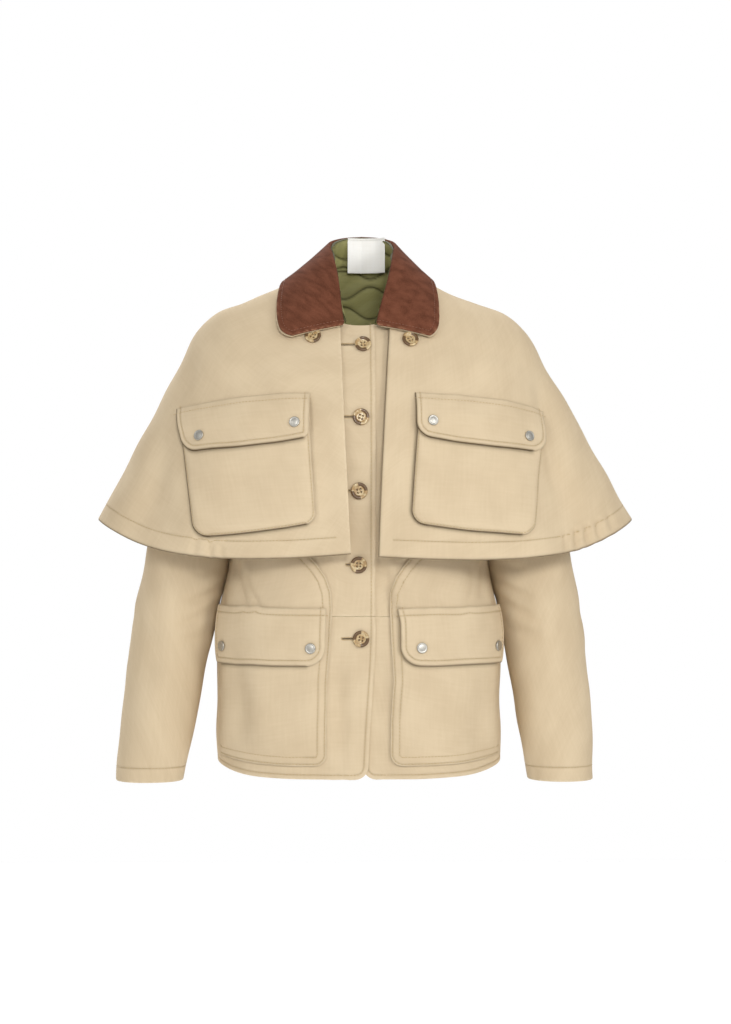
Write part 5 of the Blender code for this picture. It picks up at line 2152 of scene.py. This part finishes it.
@dataclass
class Buttons:
    """Dished four-hole horn buttons down the right front, and two that hold the cape under the collar."""

    radius: float = 10.3
    height: float = 4.1
    hole_at: float = 1.9
    hole_radius: float = 1.15
    hole_depth: float = 1.8
    hole_edge: Span = Span(1.2, 0.75)
    dark_ends: Span = Span(0.45, 0.85)
    dark_rim: Span = Span(0.48, 0.68)
    dark_edge: Span = Span(0.9, 1.0)
    edge_share: float = 0.5
    rings: int = 64
    steps: int = 56
    thread: Pair = (4.0, 0.6)
    turns: tuple[float, ...] = (0.1, -0.3, 0.25, 0.0, -0.15, 0.5, -0.4)
    leans: tuple[float, ...] = (1.2, 0.7, 0.9, 2.0, 2.4, 0.5, 2.6)
    sewing: Sewing = field(default_factory=lambda: Sewing("stitching_buttons", TAN_THREAD, 6))

    def holes(self, turn: float) -> Grid:
        """Places of the four holes on a button that is turned by an angle."""
        angle = turn + math.pi / 4 + math.pi / 2 * np.arange(4)
        return np.stack([np.cos(angle), np.sin(angle)], axis=-1) * self.hole_at * math.sqrt(2)

    def set_button(self, name: str, wrap: Wrap, angle: Any, level: Any, turn: float, lean: float) -> None:
        """One button: wells sink through the dish at its holes, and two bars of thread cross between them.

        Args:
            name: The button's name.
            wrap: The cloth that it stands on.
            angle: Its angle on the cloth.
            level: Its level on it.
            turn: How far its holes are turned.
            lean: Which way its dark ends lie.
        """
        spot, normal = wrap.place(angle, level, BUTTON_GAP), wrap.normal_of(wrap.point, angle, level)
        holes = self.holes(turn)

        def well(x: Grid, y: Grid) -> Grid:
            """1 in a hole and 0 outside."""
            away = np.hypot(x[..., None] - holes[:, 0], y[..., None] - holes[:, 1]).min(axis=-1)
            return smooth(self.hole_radius * self.hole_edge.low, self.hole_radius * self.hole_edge.high, away)

        def streak_and_hole_shade(x: Grid, y: Grid) -> Grid:
            """Dark at two ends of the rim and along its outer edge, and painted shade in the holes.

            Args:
                x: First coordinate on the button's face.
                y: Second coordinate there.

            Returns:
                How dark each point is.
            """
            out = np.hypot(x, y) / self.radius
            along = np.abs(np.cos(np.arctan2(y, x) - lean))
            ends = smooth(*self.dark_ends, along) * smooth(*self.dark_rim, out)
            # The holes are painted dark as shade
            return np.maximum(ends, self.edge_share * smooth(*self.dark_edge, out)) + well(x, y)

        shape = Turned(BUTTON_PROFILE, self.radius, self.height, self.rings, self.steps)
        axes = shape.build(name, spot, normal, HORN, lambda x, y: self.hole_depth * well(x, y), streak_and_hole_shade)
        top = self.height * BUTTON_PROFILE[0].height
        for first, second in ((0, 1), (2, 3)):
            ends = np.concatenate([holes[[first, second]], np.full((2, 1), top)], axis=1) @ axes + spot
            along = unit(ends[1] - ends[0])
            self.sewing.add(ends.mean(axis=0)[None], along[None], np.asarray(normal)[None], *self.thread)

    def build(self, jacket: Jacket) -> None:
        """Builds all seven buttons and their thread.

        Args:
            jacket: The jacket that they are sewn to.
        """
        ways = iter(zip(self.turns, self.leans))
        for number, (x, z) in enumerate(zip(jacket.button_x, jacket.button_heights())):
            level = BODY.level_at(0.0, np.array(float(z)))
            angle = BODY.angle_at(np.array(float(x)), level)
            self.set_button(f"button_{number + 1}", BODY, angle, level, *next(ways))
        for side, sign in SIDES:
            angle, level = CAPE.front_spot(*np.array(CAPE_BUTTONS[side], float))
            self.set_button(f"cape_button_{side}", CAPE, sign * angle, level, *next(ways))
        self.sewing.build()


def sewn_edge(
    wrap: Wrap, angle: Grid, level: Grid, sign: int, out: float = 0.0, sides: tuple[Side, ...] = SEWN_SIDES
) -> Grid:
    """Some edges of a patch, as a line that lies a height above the cloth that it is sewn to."""
    flat = Panel("outline", face_out(wrap.place(sign * angle, level, out), sign), POCKET_WALL)
    return flat.edge(flat.base, *sides)


@dataclass
class FlapPockets:
    """What the pockets on the cape and on the hips share: each is a patch under a flap with two snaps."""

    edge: float = 2.3
    puff: float = 3.4
    rise: float = 10
    roundness: float = 0.6
    # Painted shadow: how dark it is along a pocket's and a flap's shaded edges. The flap press's third number
    # is the shadow painted under the flap's edges.
    pocket_soil: float = 0.95
    flap_over: float = 2.6
    flap_press: Triple = (1.1, 2.6, 0.4)
    flap_soil: float = 0.95
    flap_step: float = 2.2
    flap_stitch_in: float = 6.5
    top_stitch_in: float = 8.5
    snap_rings: int = 26
    snap_steps: int = 36

    WRAP: ClassVar[Wrap] = CAPE

    def rounded(self, angle: Grid, level: Grid, sign: int) -> Grid:
        """How far a patch has risen, from 0 at its sewn edges to 1 inside.

        Args:
            angle: Angles over the patch.
            level: Levels over the patch.
            sign: 1 on the left and -1 on the right.

        Returns:
            The share.
        """
        sewn = sewn_edge(self.WRAP, angle, level, sign, self.edge)
        away = distance(self.WRAP.place(sign * angle, level, self.edge), sewn)
        return smooth(0, self.rise, away) ** self.roundness

    def patch_panel(self, name: str, angle: Grid, level: Grid, sign: int, out: Any) -> Panel:
        """A patch or flap, which lies a height above the cloth."""
        return Panel(name, face_out(self.WRAP.place(sign * angle, level, out), sign), POCKET_WALL)

    def shade_edges(self, panel: Panel, share: float, *sides: Side) -> None:
        """Paints shadow along a patch's edges: some sides fully, and all of them a little."""
        panel.paint_edge_shade(share, *sides)
        panel.paint_edge_shade(share * FAINT_SHADE, *Side)

    def press_flap(self, pocket: Panel, angle: Grid, level: Grid, sign: int) -> None:
        """Presses a pocket under its flap's edges, and paints shadow there."""
        over = sewn_edge(self.WRAP, angle, level, sign, self.edge + self.puff, DARK_SIDES)
        pocket.press(over, *self.flap_press)

    def build_flap(self, flap: Panel) -> None:
        """Rolls and topstitches a flap, and paints shadow along its edges.

        Args:
            flap: The flap.
        """
        worn = flap.roll_edges()
        flap.sew(flap.inset(self.flap_stitch_in, *SEWN_SIDES))
        flap.sew(flap.inset(self.top_stitch_in, Side.TOP))
        self.shade_edges(flap, self.flap_soil, *DARK_SIDES)
        flap.build(COTTON_CANVAS, Held.LAID, self.sewing, worn)

    def set_snap(self, name: str, angle: Any, level: Any) -> None:
        """A domed snap cap with a rolled edge, standing on a flap.

        Args:
            name: The cap's name.
            angle: Angle of its middle.
            level: Level of its middle.
        """
        spot = self.WRAP.place(angle, level, self.edge + self.puff + self.flap_over + LAYER_GAP)
        normal = self.WRAP.normal_of(self.WRAP.point, angle, level)
        cap = Turned(SNAP_PROFILE, SNAP_RADIUS, SNAP_HEIGHT, self.snap_rings, self.snap_steps)
        cap.build(name, spot, normal, NICKEL)

    def build(self) -> None:
        """Builds both sides and their thread."""
        for side, sign in SIDES:
            self.build_side(side, sign)
        self.sewing.build()


@dataclass
class CapePockets(FlapPockets):
    """Puffed patch pockets on the cape fronts, each under a flap with two snaps."""

    sewing: Sewing = field(default_factory=lambda: Sewing("stitching_cape_pockets", TAN_THREAD, 7))
    fill: Pair = (0.05, 0.3)
    lift: Pair = (0.0, 0.2)
    follow: Pair = (0.05, 0.5)
    pocket_side: float = 150
    pocket_step: float = 2.6
    stitch_in: float = 2.8
    stitch_depth: float = 0.3
    flap_length: float = 55
    flap_width: float = 165

    def patch(self, patch: Patch, rows: Grid, columns: Grid) -> tuple[Grid, Grid, Grid]:
        """Front-view places over a patch with bowed edges and rounded lower corners.

        Args:
            patch: The patch.
            rows: Distances down it.
            columns: Distances across it.

        Returns:
            Each point's x and z, and how far down it is.
        """
        corners = [np.array(corner, float) for corner in patch[:4]]
        inner_top, outer_top, outer_bottom, inner_bottom = corners
        height = np.linalg.norm(inner_bottom - inner_top)
        width = np.linalg.norm(outer_bottom - inner_bottom)
        down = rows / rows[-1]
        left = corner_inset((1 - down) * height, patch.inner_corner) / width
        right = 1 - corner_inset((1 - down) * height, patch.outer_corner) / width
        across = left[:, None] + (right - left)[:, None] * columns / columns[-1]
        down = np.broadcast_to(down[:, None], across.shape)
        shares = ((1 - across) * (1 - down), across * (1 - down), across * down, (1 - across) * down)
        spot = sum(share[..., None] * corner for share, corner in zip(shares, corners))
        bend = 4 * across * (1 - across)
        return spot[..., 0], spot[..., 1] + bend * ((1 - down) * patch.bow - down * patch.sag), down

    def pocket_grid(self, side: str) -> tuple[Grid, Grid, Grid]:
        """Angles and levels over a side's pocket, and how far down it each point is.

        Args:
            side: Left or right.

        Returns:
            Angles, levels and how far down each point is.
        """
        lines = (self.stitch_in, self.pocket_side - self.stitch_in)
        rows = stations(self.pocket_side, self.pocket_step, lines[1:])
        columns = stations(self.pocket_side, self.pocket_step, lines)
        x, z, down = self.patch(CAPE_POCKETS[side], rows, columns)
        return *CAPE.front_spot(x, z), down

    def flap_grid(self, side: str) -> tuple[Grid, Grid, Grid]:
        """Angles and levels over a side's flap, and how far down it each point is.

        Args:
            side: Left or right.

        Returns:
            Angles, levels and how far down each point is.
        """
        stitch_in, width = self.flap_stitch_in, self.flap_width
        rows = stations(self.flap_length, self.flap_step, (self.top_stitch_in, self.flap_length - stitch_in))
        columns = stations(width, self.flap_step, (stitch_in, width - stitch_in))
        x, z, drop = self.patch(CAPE_FLAPS[side], rows, columns)
        return *CAPE.front_spot(x, z), drop

    def build_side(self, side: str, sign: int) -> None:
        """Pocket, flap and snaps of one side.

        Args:
            side: Left or right.
            sign: 1 on the left and -1 on the right.
        """
        angle, level, down = self.pocket_grid(side)
        flap_angle, flap_level, drop = self.flap_grid(side)
        out = self.edge + self.puff * self.rounded(angle, level, sign) * smooth(*self.fill, down)
        pocket = self.patch_panel(f"cape_pocket_{side}", angle, level, sign, out)
        worn = pocket.roll_edges()
        pocket.sew(pocket.inset(self.stitch_in, *SEWN_SIDES), self.stitch_depth)
        # Painted shadow under the flap's edges and along the pocket's shaded sides
        self.press_flap(pocket, flap_angle, flap_level, sign)
        self.shade_edges(pocket, self.pocket_soil, *DARK_SIDES)
        pocket.build(COTTON_CANVAS, Held.LAID, self.sewing, worn)
        out = self.edge + self.flap_over * smooth(*self.lift, drop) + self.puff * smooth(*self.follow, drop)
        self.build_flap(self.patch_panel(f"cape_flap_{side}", flap_angle, flap_level, sign, out))
        for end, spot in zip(("inner", "outer"), CAPE_SNAPS[side]):
            angle, level = CAPE.front_spot(*np.array(spot, float))
            self.set_snap(f"cape_snap_{side}_{end}", sign * angle, level)


@dataclass
class HipPockets(FlapPockets):
    """Large panel pockets on the hips, which run up under the cape, with flaps and snaps."""

    edge: float = 2.6
    puff: float = 3.0
    rise: float = 26
    roundness: float = 0.7
    # Painted shadow on the hips: faint along the pocket's edges, darker along the flap's and under it
    pocket_soil: float = 0.15
    flap_press: Triple = (1.0, 2.8, 0.4)
    flap_soil: float = 0.7
    flap_stitch_in: float = 7
    sewing: Sewing = field(default_factory=lambda: Sewing("stitching_hip_pockets", TAN_THREAD, 8))
    top: float = -345
    bottom: float = -624
    corner: float = 15
    puff_from_z: float = -380
    puff_full_z: float = -430
    seated: float = 1.7
    outer_angle: float = 72
    ring: int = 10
    girth_points: int = 400
    pocket_width: float = 150
    pocket_step: float = 2.8
    stitch_in: Pair = (2.6, 11.5)
    flap_top: float = -430
    flap_bottom: float = -501
    flap_width: float = 145
    flap_corner: float = 24
    flap_outer_corner: float = 0.4
    flap_outer_angle: float = 73
    snap_z: float = -479
    snap_out: float = 20

    WRAP: ClassVar[Wrap] = BODY

    def __post_init__(self) -> None:
        """Measures a quarter of the hip from centre front, angle by angle."""
        self.angles = np.linspace(0, math.pi / 2, self.girth_points)
        points = BODY.plain(self.angles, np.full(self.angles.shape, BODY.level(self.ring)))
        self.girths = run_along(points)

    def girth_of(self, degrees: float) -> float:
        """Distance round the hip from centre front to an angle."""
        return float(np.interp(math.radians(degrees), self.angles, self.girths))

    def spread(self, inner: Grid, outer: Grid, z: Grid, columns: Grid) -> tuple[Grid, Grid]:
        """Angles and levels over a patch on the hip, from the girths of its edges at each row's height.

        Args:
            inner: Girth of the inner edge at each row.
            outer: Girth of the outer edge at each row.
            z: Height of each row.
            columns: Places across the patch, from 0 at its inner edge.

        Returns:
            Angles and levels.
        """
        girth = inner[:, None] + (outer - inner)[:, None] * columns / columns[-1]
        level = BODY.level_at(0.0, z)
        return np.interp(girth, self.girths, self.angles), np.broadcast_to(level[:, None], girth.shape)

    def pocket_grid(self, side: str) -> tuple[Grid, Grid, Grid]:
        """Angles and levels over a side's pocket, and the height of each row.

        Args:
            side: Left or right.

        Returns:
            Angles, levels and heights.
        """
        height = self.top - self.bottom
        first, second = self.stitch_in
        lines = (height - first, height - second, height - self.corner)
        z = self.top - stations(height, self.pocket_step, lines)
        heights = [edge.z for edge in HIP_POCKET_INNER[::-1]]
        girths = [getattr(edge, side) for edge in HIP_POCKET_INNER[::-1]]
        inner = np.interp(z, heights, girths) + corner_inset(z - self.bottom, self.corner)
        outer = np.full(z.shape, self.girth_of(self.outer_angle))
        columns = stations(self.pocket_width, self.pocket_step, self.stitch_in)
        return *self.spread(inner, outer, z, columns), z

    def flap_grid(self, side: str) -> tuple[Grid, Grid]:
        """Angles and levels over a side's flap.

        Args:
            side: Left or right.

        Returns:
            Angles and levels.
        """
        height, width, stitch_in = self.flap_top - self.flap_bottom, self.flap_width, self.flap_stitch_in
        z = self.flap_top - stations(height, self.flap_step, (self.top_stitch_in, height - stitch_in))
        rounding = corner_inset(z - self.flap_bottom, self.flap_corner)
        columns = stations(width, self.flap_step, (stitch_in, width - stitch_in))
        outer = self.girth_of(self.flap_outer_angle) - self.flap_outer_corner * rounding
        return self.spread(HIP_FLAP_INNER[side] + rounding, outer, z, columns)

    def outline(self, side: str, sign: int) -> Grid:
        """The pocket's sewn edges on the body."""
        angle, level, _ = self.pocket_grid(side)
        return sewn_edge(BODY, angle, level, sign)

    def build_side(self, side: str, sign: int) -> None:
        """Pocket, flap and snaps of one side.

        Args:
            side: Left or right.
            sign: 1 on the left and -1 on the right.
        """
        angle, level, z = self.pocket_grid(side)
        flap_angle, flap_level = self.flap_grid(side)
        fill = smooth(self.puff_from_z, self.puff_full_z, z)[:, None]
        out = self.seated + (self.edge - self.seated + self.puff * fill) * self.rounded(angle, level, sign)
        pocket = self.patch_panel(f"hip_pocket_{side}", angle, level, sign, out)
        worn = pocket.roll_edges()
        for inset in self.stitch_in:
            pocket.sew(pocket.inset(inset, *FRONT_AND_BOTTOM[sign]))
        # Painted shadow under the flap's edges and along the pocket's front and bottom edges
        self.press_flap(pocket, flap_angle, flap_level, sign)
        self.shade_edges(pocket, self.pocket_soil, *FRONT_AND_BOTTOM[sign])
        pocket.build(COTTON_CANVAS, Held.LAID, self.sewing, worn)
        lift = self.edge + self.puff + self.flap_over
        self.build_flap(self.patch_panel(f"hip_flap_{side}", flap_angle, flap_level, sign, lift))
        girth_end = self.girth_of(self.flap_outer_angle)
        girths = (HIP_FLAP_INNER[side] + HIP_SNAP_IN[side], girth_end - self.snap_out)
        for end, girth in zip(("inner", "outer"), girths):
            angle = np.interp(np.array(girth), self.girths, self.angles)
            level = BODY.level_at(angle, np.array(float(self.snap_z)))
            self.set_snap(f"hip_snap_{side}_{end}", sign * angle, level)


@dataclass(frozen=True)
class Light:
    """A square soft light, in metres: where it stands, where it points, its side and its power in watts."""

    name: str
    place: Triple
    aim: Triple
    side: float
    power: float


@dataclass(frozen=True)
class Studio:
    """A plain pale floor, white surroundings, soft lights and a camera at the photograph's viewing angle."""

    camera_place: Triple = (-0.06957, -2.99921, -0.312)
    camera_turn: float = -1.5
    view_height: float = 24.65
    sensor: float = 36.0
    floor_z: float = -1.15
    floor_half: float = 2.6
    floor_points: int = 5
    floor_colour: str = "f7f7f7"
    floor_rough: float = 0.9
    backdrop: float = 1.0
    room: float = 0.52
    backdrop_from: float = 0.9
    backdrop_to: float = 0.8
    lights: tuple[Light, ...] = (
        Light("right_box", (1.55, -1.85, 0.5), (0.0, 0.0, -0.32), 0.6, 13.0),
        Light("left_box", (-1.55, -1.85, 0.5), (0.0, 0.0, -0.32), 0.7, 5.0),
        Light("front_box", (0.2, -2.6, 0.4), (0.0, 0.0, -0.32), 0.5, 27.0),
        Light("back_box", (-1.7, 2.0, 0.7), (0.0, 0.0, -0.32), 0.9, 30.0),
        Light("floor_wash", (0.0, 1.8, 2.0), (0.0, 1.8, -1.15), 2.0, 60.0),
    )

    def build(self) -> None:
        """Builds the surroundings, lights, floor and camera."""
        scene = bpy.context.scene
        # Plain sRGB colours, so that the whites of the surroundings stay white
        scene.view_settings.view_transform = "Standard"
        scene.world = bpy.data.worlds.new("white_surroundings")
        scene.world.use_nodes = True
        self.paint_room(scene.world.node_tree)
        for light in self.lights:
            self.add_light(light)
        self.add_floor()
        self.add_camera()

    def paint_room(self, tree: bpy.types.NodeTree) -> None:
        """A pale room with a white backdrop behind the jacket, by the share of +Y in each direction.

        Args:
            tree: The world's node tree.
        """
        towards = add_node(tree, "TexCoord", {}, "Generated")
        share = add_node(tree, "SeparateXYZ", {"Vector": towards}, "Y")
        ends = {"To Min": self.room, "To Max": self.backdrop}
        inputs = {**Span(self.backdrop_to, self.backdrop_from).of(share), **ends}
        strength = add_node(tree, "MapRange", inputs, interpolation_type="SMOOTHSTEP")
        feed(tree, tree.nodes["Background"], {"Color": "ffffff", "Strength": strength})

    def add_light(self, light: Light) -> None:
        """A square soft light turned to its aim.

        Args:
            light: The light's settings.
        """
        data = bpy.data.lights.new(light.name, "AREA")
        data.energy = light.power
        data.size = light.side
        lamp = bpy.data.objects.new(light.name, data)
        lamp.location = light.place
        lamp.rotation_euler = (Vector(light.aim) - Vector(light.place)).to_track_quat("-Z", "Y").to_euler()
        bpy.context.scene.collection.objects.link(lamp)

    def add_floor(self) -> None:
        """A pale floor, a square grid well below the hem."""
        axis = np.linspace(-self.floor_half, self.floor_half, self.floor_points)
        x, y = np.meshgrid(axis, axis)
        points = np.stack([x, y, np.full(x.shape, self.floor_z)], axis=-1).reshape(-1, 3)
        index = np.arange(len(points)).reshape(x.shape)
        mesh = bpy.data.meshes.new("floor")
        mesh.from_pydata(points.tolist(), [], grid_faces(index, False)[:, ::-1].tolist())
        material = bpy.data.materials.new("pale_floor")
        material.use_nodes = True
        shader = material.node_tree.nodes["Principled BSDF"]
        feed(material.node_tree, shader, {"Base Color": self.floor_colour, "Roughness": self.floor_rough})
        mesh.materials.append(material)
        floor = bpy.data.objects.new("floor", mesh)
        bpy.context.scene.collection.objects.link(floor)

    def add_camera(self) -> None:
        """A level camera in front of the jacket, whose longer side spans the view's height."""
        data = bpy.data.cameras.new("camera")
        data.sensor_width = self.sensor
        data.lens = self.sensor / 2 / math.tan(math.radians(self.view_height) / 2)
        camera = bpy.data.objects.new("camera", data)
        camera.location = self.camera_place
        camera.rotation_euler = (math.pi / 2, 0, math.radians(self.camera_turn))
        bpy.context.scene.collection.objects.link(camera)
        bpy.context.scene.camera = camera


def main() -> None:
    """Builds the jacket's sub-assemblies and the studio in order."""
    logging.basicConfig(level=logging.INFO, format="%(name)s %(message)s")
    jacket, hip_pockets, cape_pockets = Jacket(), HipPockets(), CapePockets()
    jacket.build(hip_pockets)
    Sleeves().build(jacket)
    Cape().build(cape_pockets)
    collar = Collar().build()
    Lining().build(jacket)
    Label().build(collar.stand)
    cape_pockets.build()
    hip_pockets.build()
    Buttons().build(jacket)
    Studio().build()


if __name__ == "__main__":
    main()
